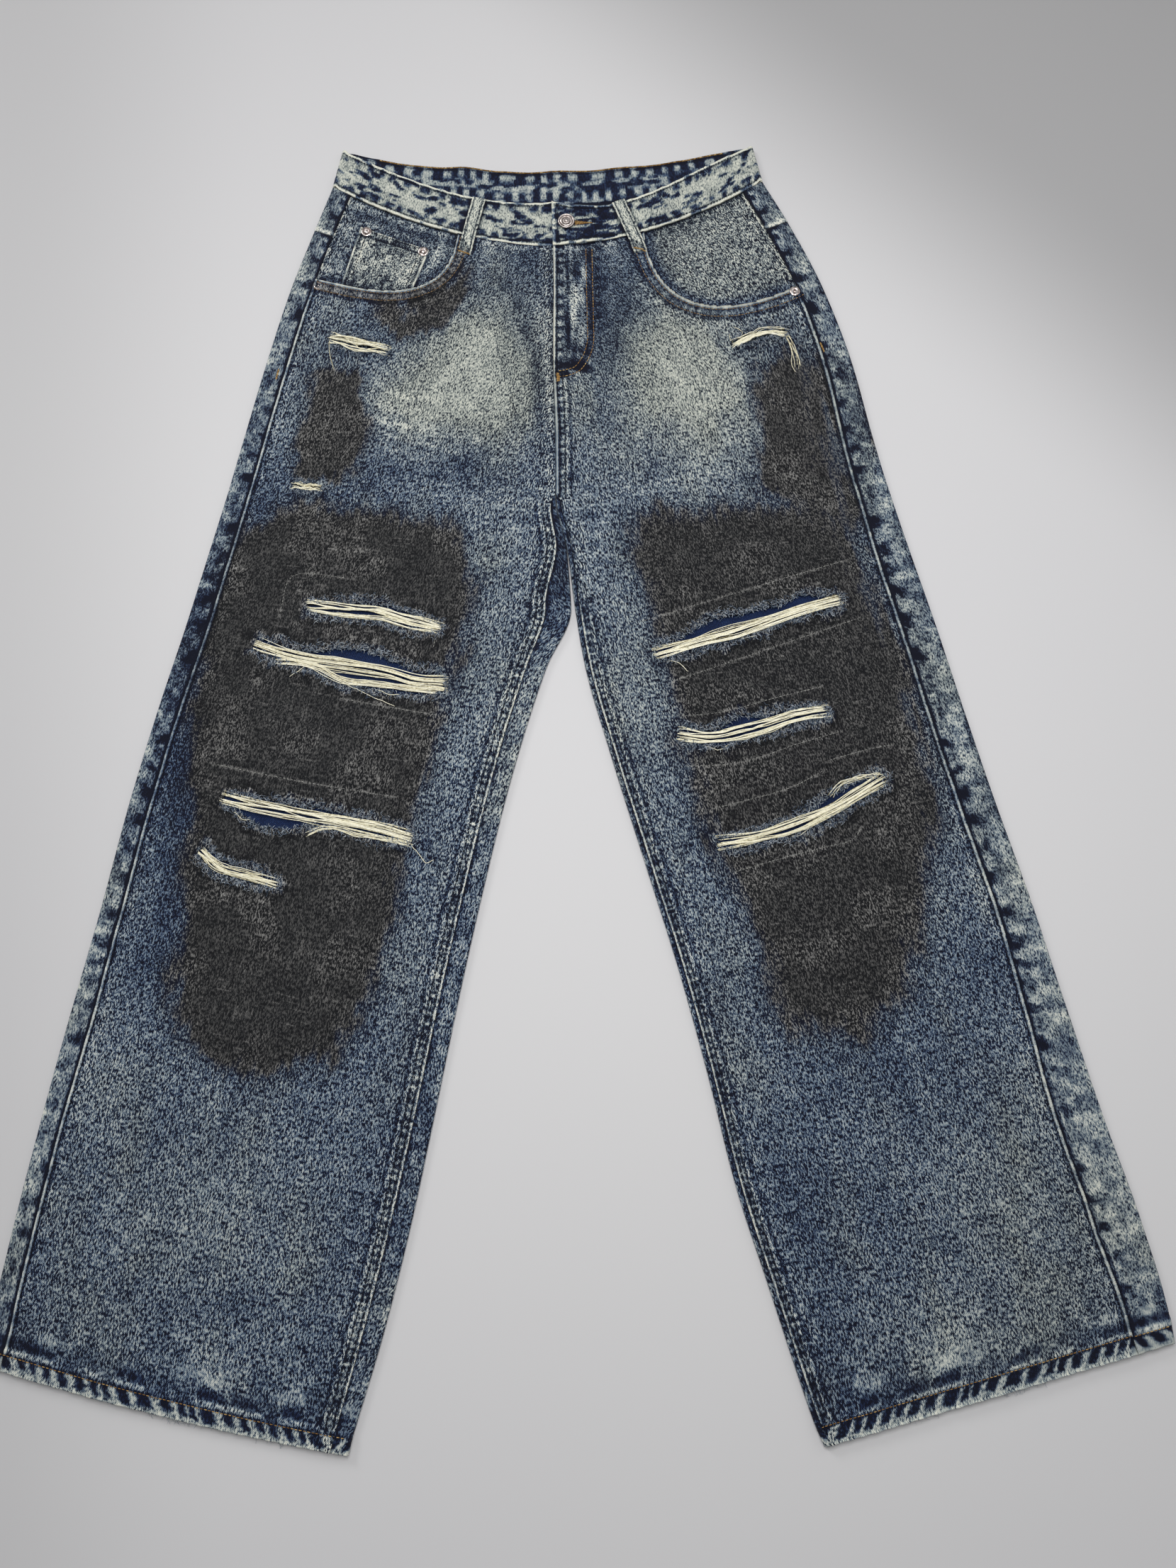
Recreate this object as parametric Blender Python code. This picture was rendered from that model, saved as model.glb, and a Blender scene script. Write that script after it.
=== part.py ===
"""Ripped wide-leg jeans, laid out flat on their back with the front up.

The jeans lie in the XY plane, +Y towards the waist and +Z up, on a flat underside at z = 0. Right and
left are the wearer's, so the right leg lies on the -X side. Every panel is a wall of cloth of its own,
0.3 mm from the next one at the seams: two fronts on two backs, whose edges turn up and over the outer and
inner folds to meet the fronts, two yokes, a waistband that runs all round, pocket facings, a coin pocket,
belt loops, backing patches behind the rips, and the loose weft threads that cross each rip.
"""
import math

import bmesh
import bpy
import numpy as np

MM = 0.001

# Cloth thicknesses and the spaces between layers, in mm
DENIM = 1.2
HEM = 2.4
BAND = 2.0
PATCH = 1.0
LOOP = 1.4
SEAM = 0.3
BETWEEN = 2.1
BAND_BETWEEN = 1.5
HEM_BETWEEN = 1.5
PATCH_MIDDLE = 2.3

# The gap at the waist seam and at the yoke seam, as a share of the row beside it
WAIST_GAP = SEAM / 2 / 45.0
YOKE_GAP = SEAM / 2 / 42.0

# Stations down a leg, measured in mm from the crotch point. Each has the ends of the row of cloth from
# the outer fold to the inner fold (above the crotch to the centre seam), how far that row sags between
# them, how much higher the back's row ends at the centre, how wide the strips of the back are that show
# beside the outseam and the inseam, and the thickness of the cloth.
COLUMNS = ("outer_x", "outer_y", "inner_x", "inner_y", "sag", "back_rise", "outseam", "inseam", "cloth")
RIGHT_LEG = {
    "waist":      (-194.5, 324.0, 8.2, 253.4, 14.0, 42.0, 18.0, 0.0, DENIM),
    "yoke":       (-210.6, 277.5, 7.9, 215.1, 6.0, 12.0, 18.0, 0.0, DENIM),
    "pocket":     (-231.7, 213.9, 6.2, 164.4, 2.0, 0.0, 19.0, 0.0, DENIM),
    "hip":        (-250.7, 142.6, 5.4, 111.3, 0.0, 0.0, 19.0, 0.0, DENIM),
    "seat":       (-267.3, 73.5, 5.2, 52.5, 0.0, 0.0, 19.0, 0.0, DENIM),
    "fork":       (-277.8, 29.0, 4.4, 8.0, 0.0, 0.0, 19.0, 0.0, DENIM),
    "crotch":     (-279.9, 20.0, 4.6, 0.0, 0.0, 0.0, 19.0, 4.2, DENIM),
    "bridge":     (-288.0, -12.0, 13.0, -46.0, 0.0, 0.0, 19.0, 9.5, DENIM),
    "gap":        (-299.5, -57.0, 15.0, -98.0, 0.0, 0.0, 19.0, 22.0, DENIM),
    "thigh":      (-311.0, -102.1, -7.0, -149.5, 0.0, 0.0, 19.0, 16.5, DENIM),
    "low_thigh":  (-331.2, -176.4, -37.9, -243.2, 0.0, 0.0, 18.0, 15.5, DENIM),
    "knee":       (-351.3, -258.2, -61.7, -333.1, 0.0, 0.0, 17.5, 15.0, DENIM),
    "calf":       (-369.1, -343.3, -82.2, -419.3, 0.0, 0.0, 17.0, 14.8, DENIM),
    "shin":       (-387.4, -423.3, -102.4, -511.6, 0.0, 0.0, 18.0, 15.0, DENIM),
    "low_shin":   (-405.2, -505.6, -120.7, -591.7, 1.0, 0.0, 16.5, 15.3, DENIM),
    "ankle":      (-422.6, -594.7, -140.4, -665.2, 2.5, 0.0, 16.0, 15.0, DENIM),
    "hem_line":   (-433.6, -658.5, -160.6, -728.5, 4.0, 0.0, 16.0, 13.5, DENIM),
    "hem_turn":   (-434.0, -661.0, -161.4, -731.0, 4.0, 0.0, 16.0, 13.5, HEM),
    "hem_edge":   (-436.0, -675.1, -164.6, -744.6, 4.0, 0.0, 16.0, 13.5, HEM),
}
LEFT_LEG = {
    "waist":      (204.6, 317.4, 8.2, 253.4, 14.0, 42.0, 20.0, 0.0, DENIM),
    "yoke":       (225.0, 273.5, 7.9, 215.1, 6.0, 12.0, 21.5, 0.0, DENIM),
    "pocket":     (253.0, 201.4, 6.2, 164.4, 2.0, 0.0, 22.5, 0.0, DENIM),
    "hip":        (272.5, 126.1, 5.4, 111.3, 0.0, 0.0, 24.0, 0.0, DENIM),
    "seat":       (284.2, 56.0, 5.2, 52.5, 0.0, 0.0, 26.0, 0.0, DENIM),
    "fork":       (292.0, 14.0, 4.4, 8.0, 0.0, 0.0, 27.0, 0.0, DENIM),
    "crotch":     (293.9, 5.0, 4.6, 0.0, 0.0, 0.0, 27.0, 4.2, DENIM),
    "bridge":     (301.5, -30.0, 13.0, -46.0, 0.0, 0.0, 28.0, 4.2, DENIM),
    "gap":        (311.6, -74.0, 18.0, -98.0, 0.0, 0.0, 29.0, 4.2, DENIM),
    "thigh":      (321.6, -117.1, 24.5, -147.2, 0.0, 0.0, 29.0, 4.2, DENIM),
    "low_thigh":  (338.6, -196.4, 43.0, -224.6, 0.0, 0.0, 29.5, 4.2, DENIM),
    "knee":       (356.4, -276.5, 68.5, -319.9, 0.0, 0.0, 29.0, 4.2, DENIM),
    "calf":       (376.0, -357.2, 90.5, -402.1, 0.0, 0.0, 29.0, 4.2, DENIM),
    "shin":       (394.0, -441.6, 109.5, -484.8, 0.0, 0.0, 32.0, 4.2, DENIM),
    "low_shin":   (412.5, -526.3, 126.5, -568.5, 0.0, 0.0, 36.0, 4.2, DENIM),
    "ankle":      (430.7, -600.6, 146.5, -640.0, 0.0, 0.0, 36.0, 4.2, DENIM),
    "hem_line":   (443.0, -670.0, 173.0, -732.0, 0.0, 0.0, 32.0, 4.2, DENIM),
    "hem_turn":   (443.2, -672.5, 173.8, -734.5, 0.0, 0.0, 32.0, 4.2, HEM),
    "hem_edge":   (443.9, -688.0, 179.8, -749.6, 0.0, 0.0, 30.0, 4.2, HEM),
}
STATIONS = tuple(RIGHT_LEG)
RISE_FLATTENS = 60.0
LEGS = {"right": RIGHT_LEG, "left": LEFT_LEG}
SIDE = {"right": -1, "left": 1}

# The part's origin is the middle of the outline, seen from above
HEM_LEFT_X = LEFT_LEG["hem_edge"][0]
HEM_RIGHT_X = RIGHT_LEG["hem_edge"][0]
WAIST_TOP_Y = 362.2
LOWEST_Y = LEFT_LEG["hem_edge"][3]
ORIGIN = np.array([(HEM_LEFT_X + HEM_RIGHT_X) / 2, (WAIST_TOP_Y + LOWEST_Y) / 2])

# Soft folds of the top layer: middle, direction in degrees, length, width and height, in mm
FOLD_COLUMNS = ("x", "y", "angle", "length", "width", "height")
FOLD_TAPER = 2.2
FOLDS = (
    (-60.0, 40.0, 172.0, 150.0, 15.0, 0.9),
    (-95.0, 72.0, 168.0, 190.0, 18.0, 0.7),
    (-50.0, -10.0, 165.0, 120.0, 16.0, 0.8),
    (70.0, 38.0, 8.0, 150.0, 15.0, 0.9),
    (110.0, 70.0, 10.0, 180.0, 17.0, 0.6),
    (62.0, -22.0, 14.0, 120.0, 15.0, 0.8),
    (-215.0, 60.0, 100.0, 130.0, 22.0, 0.7),
    (238.0, 45.0, 78.0, 140.0, 22.0, 0.8),
    (-185.0, -205.0, 168.0, 200.0, 20.0, 0.8),
    (190.0, -250.0, 12.0, 190.0, 18.0, 0.8),
    (-215.0, -365.0, 165.0, 210.0, 22.0, 0.9),
    (225.0, -385.0, 12.0, 200.0, 24.0, 0.8),
    (-300.0, -560.0, 78.0, 190.0, 30.0, 1.0),
    (-215.0, -600.0, 84.0, 170.0, 26.0, 0.8),
    (280.0, -560.0, 98.0, 200.0, 30.0, 1.0),
    (375.0, -590.0, 104.0, 160.0, 24.0, 0.9),
)

# Waistband: where its top edge lies on the front and at the back, and the overlap at the button
BAND_TOP = {"right": (-185.9, WAIST_TOP_Y), "left": (197.7, 354.7)}
BAND_TOP_CENTRE = (8.0, 300.0)
BAND_TOP_SAG = {"right": (16.0, 0.2), "left": (18.0, 0.8)}
BACK_TOP_SAG = 22.0
OVERLAP_END = 43.0
OVERLAP_LIFT = 2.3
OVERLAP_SLOPE = 14.0
UNDER_END_SHARES = (0.84, 0.93)
BAND_SHARES = (0.03, 0.14, 0.26, 0.38, 0.5, 0.62, 0.7, 0.745, 0.83, 0.92, 1.0)
FLY_LIFT = 1.1
FLY_WIDTH = 36.0
FLY_END_Y = 121.0

# Front pocket mouths, as cubic curves from the waist seam to the outseam
POCKET_MOUTH = {
    "right": ((-79.0, 266.0), (-88.0, 209.0), (-128.0, 200.0), (-209.0, 227.0)),
    "left": ((92.0, 264.0), (97.0, 196.0), (142.0, 164.0), (231.0, 206.5)),
}
FACING_ROWS = {"right": 2.12, "left": 2.36}
FACING_SHARE = {"right": 0.72, "left": 0.68}
FACING_STEP = 1.55
FACING_EDGE = -0.02
COIN_LIFT = DENIM / 2 + SEAM + PATCH / 2 - FACING_STEP

COIN_CORNERS = ((-167.7, 279.9), (-105.2, 253.3), (-122.5, 208.0), (-187.0, 214.0))
RIVETS = {
    "rivet_coin_outer": (-162.4, 274.5),
    "rivet_coin_inner": (-110.4, 252.0),
    "rivet_pocket_right": (-205.0, 219.0),
    "rivet_pocket_left": (226.0, 200.0),
}
RIVET_RADIUS = 4.8
BUTTON_PLACE = (21.1, 276.2)
BUTTON_RADIUS = 7.6

# Belt loops: the bow of their middle, where along them the waist seam lies, their cross profile as shares
# of the width with the dip of each, and their top and bottom end on the front
LOOP_WIDTH = 12.0
LOOP_BOW = 0.8
LOOP_SEAM_SHARE = 0.84
LOOP_PROFILE = ((-0.5, 0.25), (-0.42, 0.0), (0.42, 0.0), (0.5, 0.25))
BELT_LOOPS = {
    "belt_loop_right": ((-58.5, 305.5), (-73.0, 248.0)),
    "belt_loop_left": ((69.5, 298.5), (88.3, 246.0)),
}

# Rips: the leg, the two ends, how far the middle bows up, the hole's height at the middle and at its
# ends, and the groups of threads that cross it. A group has a count, the side shift of its middle and
# of its ends, and its spread.
RIPS = {
    "threads_hip_right": ("right", (-194.5, 166.5), (-141.5, 150.0), 0.5, 10.0, 7.4,
                          ((4, 0.0, 0.0, 5.5),)),
    "threads_low_hip_right": ("right", (-223.0, 23.3), (-199.0, 19.0), 0.0, 7.4, 6.2,
                              ((3, 0.0, 0.0, 4.0),)),
    "threads_thigh_right": ("right", (-208.5, -89.5), (-94.5, -113.5), 3.0, 17.0, 11.5,
                            ((7, 0.5, 0.0, 9.5),)),
    "threads_low_thigh_right": ("right", (-252.5, -123.5), (-91.5, -165.5), 0.5, 31.0, 16.0,
                                ((5, 8.2, 3.2, 7.0), (5, -7.0, -3.6, 7.0))),
    "threads_knee_right": ("right", (-274.5, -258.0), (-118.0, -294.0), -1.0, 19.0, 11.6,
                           ((7, 2.6, 0.3, 8.7),)),
    "threads_low_knee_right": ("right", (-290.5, -298.5), (-226.5, -326.5), -3.5, 12.0, 10.4,
                               ((6, 0.0, 0.0, 7.5),)),
    "threads_hip_left": ("left", (168.5, 147.5), (213.5, 161.5), 3.5, 9.5, 8.4,
                         ((4, 0.0, 0.0, 5.0),)),
    "threads_thigh_left": ("left", (84.0, -140.5), (244.5, -97.0), 1.5, 19.0, 10.8,
                           ((7, -3.4, -0.2, 8.6),)),
    "threads_low_thigh_left": ("left", (101.5, -212.5), (224.8, -196.0), -2.5, 16.0, 11.0,
                               ((7, -0.8, 0.0, 8.6),)),
    "threads_knee_left": ("left", (128.5, -305.5), (267.0, -254.5), -7.5, 18.0, 12.6,
                          ((7, -1.8, 0.0, 8.8),)),
}
CUT_FROM = -5.0
CUT_TO = 25.0
STRAND = 0.7
STRAND_WAVE = 0.19
STRAND_SPANS = 5
ROOT_LENGTH = 2.4

# Backing patches behind the rips: the four corners of each cloth, clockwise from the upper outer one
PATCHES = {
    "patch_thigh_right": ((-262.0, -92.0), (-84.0, -80.0), (-78.0, -196.0), (-250.0, -176.0)),
    "patch_knee_right": ((-292.0, -236.0), (-104.0, -262.0), (-118.0, -336.0), (-306.0, -318.0)),
    "patch_thigh_left": ((72.0, -114.0), (256.0, -66.0), (268.0, -112.0), (88.0, -168.0)),
    "patch_low_thigh_left": ((90.0, -190.0), (238.0, -172.0), (242.0, -214.0), (92.0, -244.0)),
    "patch_knee_left": ((112.0, -272.0), (276.0, -224.0), (284.0, -284.0), (124.0, -340.0)),
}

# Finishes: colour, roughness, metallic
FINISHES = {
    "denim": ((0.17, 0.24, 0.33), 0.9, 0.0),
    "patch_cloth": ((0.04, 0.09, 0.26), 0.92, 0.0),
    "thread": ((0.78, 0.74, 0.58), 0.85, 0.0),
    "metal": ((0.62, 0.57, 0.56), 0.35, 1.0),
}


def clear_scene():
    """Remove whatever the open file holds."""
    for thing in list(bpy.data.objects):
        bpy.data.objects.remove(thing, do_unlink=True)


def finish(name):
    """The material of one finish, made once."""
    material = bpy.data.materials.get(name)
    if material is None:
        colour, roughness, metallic = FINISHES[name]
        material = bpy.data.materials.new(name)
        material.use_nodes = True
        shader = material.node_tree.nodes["Principled BSDF"]
        shader.inputs["Base Color"].default_value = (*colour, 1.0)
        shader.inputs["Roughness"].default_value = roughness
        shader.inputs["Metallic"].default_value = metallic
    return material


def add_solid(name, points, faces, finish_name, smooth=True):
    """A closed solid from points in mm, with its faces turned outwards."""
    placed = np.array(points, dtype=float)
    placed[:, :2] -= ORIGIN
    mesh = bpy.data.meshes.new(name)
    mesh.from_pydata((placed * MM).tolist(), [], faces)
    shape = bmesh.new()
    shape.from_mesh(mesh)
    loose = [v for v in shape.verts if not v.link_faces]
    bmesh.ops.delete(shape, geom=loose, context="VERTS")
    bmesh.ops.triangulate(shape, faces=shape.faces[:])
    bmesh.ops.recalc_face_normals(shape, faces=shape.faces[:])
    shape.to_mesh(mesh)
    shape.free()
    if smooth:
        mesh.shade_smooth()
        mesh.set_sharp_from_angle(angle=math.radians(40))
    mesh.materials.append(finish(finish_name))
    thing = bpy.data.objects.new(name, mesh)
    bpy.context.collection.objects.link(thing)
    return thing


def monotone(knots, values, at):
    """Smooth curve through the values that never swings past them (harmonic-mean slopes)."""
    steps = np.diff(knots)
    slopes = np.diff(values) / steps
    tangents = np.zeros(len(values))
    before, after = slopes[:-1], slopes[1:]
    same_way = before * after > 0
    near, far = 2 * steps[1:] + steps[:-1], steps[1:] + 2 * steps[:-1]
    with np.errstate(divide="ignore", invalid="ignore"):
        mean = (near + far) / (near / before + far / after)
    tangents[1:-1] = np.where(same_way, mean, 0.0)
    tangents[0], tangents[-1] = slopes[0], slopes[-1]
    span = np.clip(np.searchsorted(knots, at, side="right") - 1, 0, len(steps) - 1)
    t = (at - knots[span]) / steps[span]
    return (values[span] * (1 + 2 * t) * (1 - t) ** 2 + values[span + 1] * t * t * (3 - 2 * t)
            + steps[span] * (tangents[span] * t * (1 - t) ** 2 - tangents[span + 1] * t * t * (1 - t)))


def leg_rows(side, rows):
    """The station table read at the given rows (0 is the waist), as one dict of arrays."""
    table = np.array(list(LEGS[side].values()))
    middles = (table[:, 0:2] + table[:, 2:4]) / 2
    knots = np.concatenate([[0], np.cumsum(np.linalg.norm(np.diff(middles, axis=0), axis=1))])
    at = np.interp(rows, np.arange(len(knots)), knots)
    return {column: monotone(knots, table[:, i], at) for i, column in enumerate(COLUMNS)}


def station(name):
    """The row number of a named station."""
    return float(STATIONS.index(name))


def fold_height(x, y):
    """How much the soft folds lift the top layer: a bump along each fold's line."""
    lift = np.zeros(np.broadcast(x, y).shape)
    for fold in FOLDS:
        f = dict(zip(FOLD_COLUMNS, fold))
        turn = math.radians(f["angle"])
        along = (x - f["x"]) * math.cos(turn) + (y - f["y"]) * math.sin(turn)
        across = (y - f["y"]) * math.cos(turn) - (x - f["x"]) * math.sin(turn)
        lift = lift + f["height"] * np.exp(-(FOLD_TAPER * along / f["length"]) ** 2 - (across / f["width"]) ** 2)
    return lift


def ease(value, low, high):
    """0 below low, 1 above high, and a smooth step between."""
    t = np.clip((value - low) / (high - low), 0, 1)
    return t * t * (3 - 2 * t)


def fly_height(x, y):
    """How much the fly lifts the left front, which laps over the right one at the centre seam."""
    beside = 1 - ease(x, FLY_WIDTH, FLY_WIDTH + 12.0)
    return FLY_LIFT * beside * ease(x, 0.0, 5.0) * ease(y, FLY_END_Y - 20, FLY_END_Y + 12)


def top_layer(x, y, cloth):
    """The height of the middle of the top layer's cloth."""
    between = np.interp(cloth, (DENIM, HEM), (BETWEEN, HEM_BETWEEN))
    return cloth * 1.5 + between + fold_height(x, y) + fly_height(x, y)


def across(row, distance, rise=0.0):
    """Points at a distance from the outer fold along a row, sagging between its ends."""
    outer = np.stack([row["outer_x"], row["outer_y"]], -1)
    inner = np.stack([row["inner_x"], row["inner_y"] + rise], -1)
    length = np.linalg.norm(inner - outer, axis=-1)
    share = distance / length
    spot = outer + (inner - outer) * share[..., None]
    spot[..., 1] -= row["sag"] * (4 * share * (1 - share)) * (1 - rise / RISE_FLATTENS)
    return spot


def row_length(row, rise=0.0):
    """The straight distance from the outer fold to the row's inner end."""
    return np.hypot(row["inner_x"] - row["outer_x"], row["inner_y"] + rise - row["outer_y"])


def add_wall(name, middle, thickness, finish_name, keep=None):
    """A wall of cloth round a grid of points in its middle; keep says which cells have cloth."""
    rows, columns = middle.shape[:2]
    down = np.gradient(middle, axis=0)
    side = np.gradient(middle, axis=1)
    normal = np.cross(down, side)
    normal /= np.linalg.norm(normal, axis=-1, keepdims=True)
    half = np.broadcast_to(thickness, (rows, columns))[..., None] / 2
    outside = (middle + normal * half).reshape(-1, 3)
    inside = (middle - normal * half).reshape(-1, 3)
    number = np.arange(rows * columns).reshape(rows, columns)
    cells = np.stack([number[:-1, :-1], number[:-1, 1:], number[1:, 1:], number[1:, :-1]], -1)
    if keep is None:
        keep = np.ones((rows - 1, columns - 1), bool)
    cells = cells[keep].tolist()
    shift = rows * columns
    edges = {}
    for cell in cells:
        for start, end in zip(cell, cell[1:] + cell[:1]):
            edges[(start, end)] = True
    border = [edge for edge in edges if edge[::-1] not in edges]
    faces = cells + [[corner + shift for corner in reversed(cell)] for cell in cells]
    faces += [[end, start, start + shift, end + shift] for start, end in border]
    return add_solid(name, np.concatenate([outside, inside]), faces, finish_name)


def curve_points(corners, count):
    """Points along a cubic curve with the given four control points."""
    t = np.linspace(0, 1, count)[:, None]
    a, b, c, d = (np.array(p) for p in corners)
    return a * (1 - t) ** 3 + 3 * b * t * (1 - t) ** 2 + 3 * c * t * t * (1 - t) + d * t ** 3


def cut(thing, name, outlines):
    """Cut upright prisms with the given outlines through a wall."""
    points, faces = [], []
    for outline in outlines:
        first, count = len(points), len(outline)
        points += [(x, y, CUT_FROM) for x, y in outline] + [(x, y, CUT_TO) for x, y in outline]
        faces.append(list(range(first, first + count)))
        faces.append(list(range(first + 2 * count - 1, first + count - 1, -1)))
        for i in range(count):
            j = (i + 1) % count
            faces.append([first + i, first + j, first + count + j, first + count + i])
    cutter = add_solid(name, points, faces, "denim", smooth=False)
    cutter.hide_render = True
    cutter.display_type = "WIRE"
    knife = thing.modifiers.new("cut", "BOOLEAN")
    knife.operation = "DIFFERENCE"
    knife.object = cutter


def rip_frame(rip):
    """The ends, direction, side direction and length of a rip."""
    start, end = np.array(rip[1]), np.array(rip[2])
    length = np.linalg.norm(end - start)
    along = (end - start) / length
    return start, along, np.array([-along[1], along[0]]), length


def rip_middle(rip, t):
    """Points along the middle line of a rip, t from 0 to 1."""
    start, along, beside, length = rip_frame(rip)
    bow = rip[3] * 4 * t * (1 - t)
    return start + along * length * t[:, None] + beside * bow[:, None]


def rip_outline(rip, count=9):
    """The outline of the hole: a long lens with blunt ends."""
    t = np.linspace(0, 1, count)
    half = (rip[5] + (rip[4] - rip[5]) * np.sin(math.pi * t) ** 0.8) / 2
    beside = rip_frame(rip)[2]
    middle = rip_middle(rip, t)
    upper = middle + beside * half[:, None]
    lower = middle - beside * half[:, None]
    return np.concatenate([upper, lower[::-1]]).tolist()


FRONT_ROWS = (0.0, 0.5, 1.0, 1.5, 2.0, 2.5, 3.0, 3.5, 4.0, 4.5, 5.0, 6.0, 7.0, 8.0, 9.0, 9.5, 10.0, 10.5,
              11.0, 11.5, 12.0, 13.0, 13.5, 14.0, 15.0, 15.5, 16.0, 17.0, 18.0)
FRONT_SHARES = (0.0, 0.1, 0.22, 0.34, 0.46, 0.58, 0.7, 0.81, 0.9, 0.97, 1.0)


def seam_rows(rows):
    """Rows as an array, with the first one just below the waist seam."""
    return np.array(rows) + np.where(np.array(rows) == 0, WAIST_GAP, 0)


def front_grid(side, rows, shares, lower=0.0):
    """Points in the middle of a front's cloth, from the outseam to the centre seam or inseam."""
    row = leg_rows(side, rows)
    row = {key: value[:, None] for key, value in row.items()}
    start = row["outseam"] + SEAM / 2
    end = row_length(row) - row["inseam"] - SEAM / 2
    spot = across(row, start + (end - start) * np.array(shares)[None, :])
    height = top_layer(spot[..., 0], spot[..., 1], row["cloth"]) - lower
    return np.concatenate([spot, height[..., None]], -1), row["cloth"]


def make_fronts():
    """The two fronts, with the pocket mouths and the rips cut out."""
    for side in LEGS:
        middle, cloth = front_grid(side, seam_rows(FRONT_ROWS), FRONT_SHARES)
        front = add_wall(f"front_{side}", middle, cloth, "denim")
        mouth = curve_points(POCKET_MOUTH[side], 12)
        out = SIDE[side] * 40.0
        corner = [(mouth[-1][0] + out, mouth[-1][1] - 2.0), (mouth[-1][0] + out, 400.0),
                  (mouth[0][0] - SIDE[side] * 1.0, 400.0)]
        outlines = [mouth.tolist() + corner]
        outlines += [rip_outline(rip) for rip in RIPS.values() if rip[0] == side]
        cut(front, f"cutter_front_{side}", outlines)


TURN = np.linspace(0, math.pi, 5)
UNDER_SHARES = (0.0, 0.2, 0.5, 0.8, 1.0)


def back_grid(side, rows):
    """Points in the middle of a back's cloth: over the outer fold, along the underside and up again.

    Above the crotch the cloth ends flat at the centre seam, so the cells of the inner fold are left out.
    """
    row = leg_rows(side, rows)
    cloth = row["cloth"]
    length = row_length(row)
    under_length = row_length(row, row["back_rise"])
    points = []

    def fold_radius(distance):
        spot = across(row, distance)
        return (top_layer(spot[:, 0], spot[:, 1], cloth) - cloth / 2) / 2

    def place(distance, height, under=False):
        if under:
            spot = across(row, distance, row["back_rise"])
        else:
            spot = across(row, distance)
        points.append(np.concatenate([spot, height[:, None]], -1))

    outer = fold_radius(np.full(len(rows), 3.0))
    for share in (0.0, 0.5):
        distance = (row["outseam"] - SEAM / 2) * (1 - share) + (outer + cloth / 2) * share
        spot = across(row, distance)
        place(distance, top_layer(spot[:, 0], spot[:, 1], cloth))
    for angle in TURN:
        place(outer * (1 - math.sin(angle)) + cloth / 2, outer * (1 + math.cos(angle)) + cloth / 2,
              under=angle > math.pi / 2)
    wraps = row["inseam"] > 0
    inner = fold_radius(length - 3.0)
    flat_start = outer + cloth / 2
    flat_end = np.where(wraps, under_length - inner - cloth / 2 - SEAM / 2, under_length - SEAM / 2)
    for share in UNDER_SHARES[1:]:
        place(flat_start + (flat_end - flat_start) * share, cloth / 2, under=True)
    for angle in TURN[1:]:
        place(length - SEAM / 2 - cloth / 2 - inner * (1 - math.sin(angle)),
              inner * (1 - math.cos(angle)) + cloth / 2)
    distance = length - np.maximum(row["inseam"], inner + cloth / 2 + 1.0) + SEAM / 2
    spot = across(row, distance)
    place(distance, top_layer(spot[:, 0], spot[:, 1], cloth))
    grid = np.stack(points, 1)
    keep = np.ones((len(rows) - 1, grid.shape[1] - 1), bool)
    keep[~wraps[:-1], -len(TURN):] = False
    return grid, cloth[:, None], keep


BACK_ROWS = (1.0,) + FRONT_ROWS[3:]


def make_backs():
    """The two backs and the two yokes above them."""
    for side in LEGS:
        grid, cloth, keep = back_grid(side, np.array((1.0 + YOKE_GAP,) + BACK_ROWS[1:]))
        add_wall(f"back_{side}", grid, cloth, "denim", keep)
        grid, cloth, keep = back_grid(side, seam_rows((0.0, 0.25, 0.5, 0.75, 1.0 - YOKE_GAP)))
        flat = grid.shape[1] - len(TURN)
        add_wall(f"yoke_{side}", grid[:, :flat], cloth, "denim")


def make_pockets():
    """The pocket facings that show inside the mouths, and the coin pocket on the right one."""
    for side in LEGS:
        rows = np.linspace(0, FACING_ROWS[side], 6)
        rows[0] = WAIST_GAP
        grid, cloth = front_grid(side, rows, np.linspace(FACING_EDGE, FACING_SHARE[side], 7), FACING_STEP)
        add_wall(f"pocket_facing_{side}", grid, cloth, "denim")
    upper_outer, upper_inner, lower_inner, lower_outer = (np.array(p) for p in COIN_CORNERS)
    across_share = np.linspace(0, 1, 5)[None, :, None]
    down_share = np.linspace(0, 1, 4)[:, None, None]
    upper = upper_outer + (upper_inner - upper_outer) * across_share
    lower = lower_outer + (lower_inner - lower_outer) * across_share
    spot = upper + (lower - upper) * down_share
    height = top_layer(spot[..., 0], spot[..., 1], DENIM) + COIN_LIFT
    coin = add_wall("coin_pocket", np.concatenate([spot, height[..., None]], -1), PATCH, "denim")
    mouth = curve_points(POCKET_MOUTH["right"], 12)
    inward = mouth + np.array([-0.35, 0.45])
    cut(coin, "cutter_coin_pocket", [inward.tolist() + [(-220.0, 150.0), (-60.0, 150.0)]])


def band_front_points(side, shares):
    """Lower and upper edge of the front waistband, from the outer fold to the centre."""
    row = {key: value[:1] for key, value in leg_rows(side, np.array([0.0])).items()}
    lower = np.array([across(row, row_length(row) * share)[0] for share in shares])
    lower[:, 1] += SEAM / 2
    start, end = np.array(BAND_TOP[side]), np.array(BAND_TOP_CENTRE)
    sag, skew = BAND_TOP_SAG[side]
    share = np.array(shares)[:, None]
    upper = start + (end - start) * share
    upper[:, 1] -= (sag * 4 * share * (1 - share) * (1 + skew * (2 * share - 1)))[:, 0]
    return lower, upper


def band_height(x, y, lifted):
    """Height of the middle of the front waistband; the left end laps over the right one."""
    lift = OVERLAP_LIFT * (1 - ease(x, OVERLAP_END, OVERLAP_END + OVERLAP_SLOPE)) if lifted else 0.0
    return BAND * 1.5 + BAND_BETWEEN + fold_height(x, y) + lift


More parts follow.
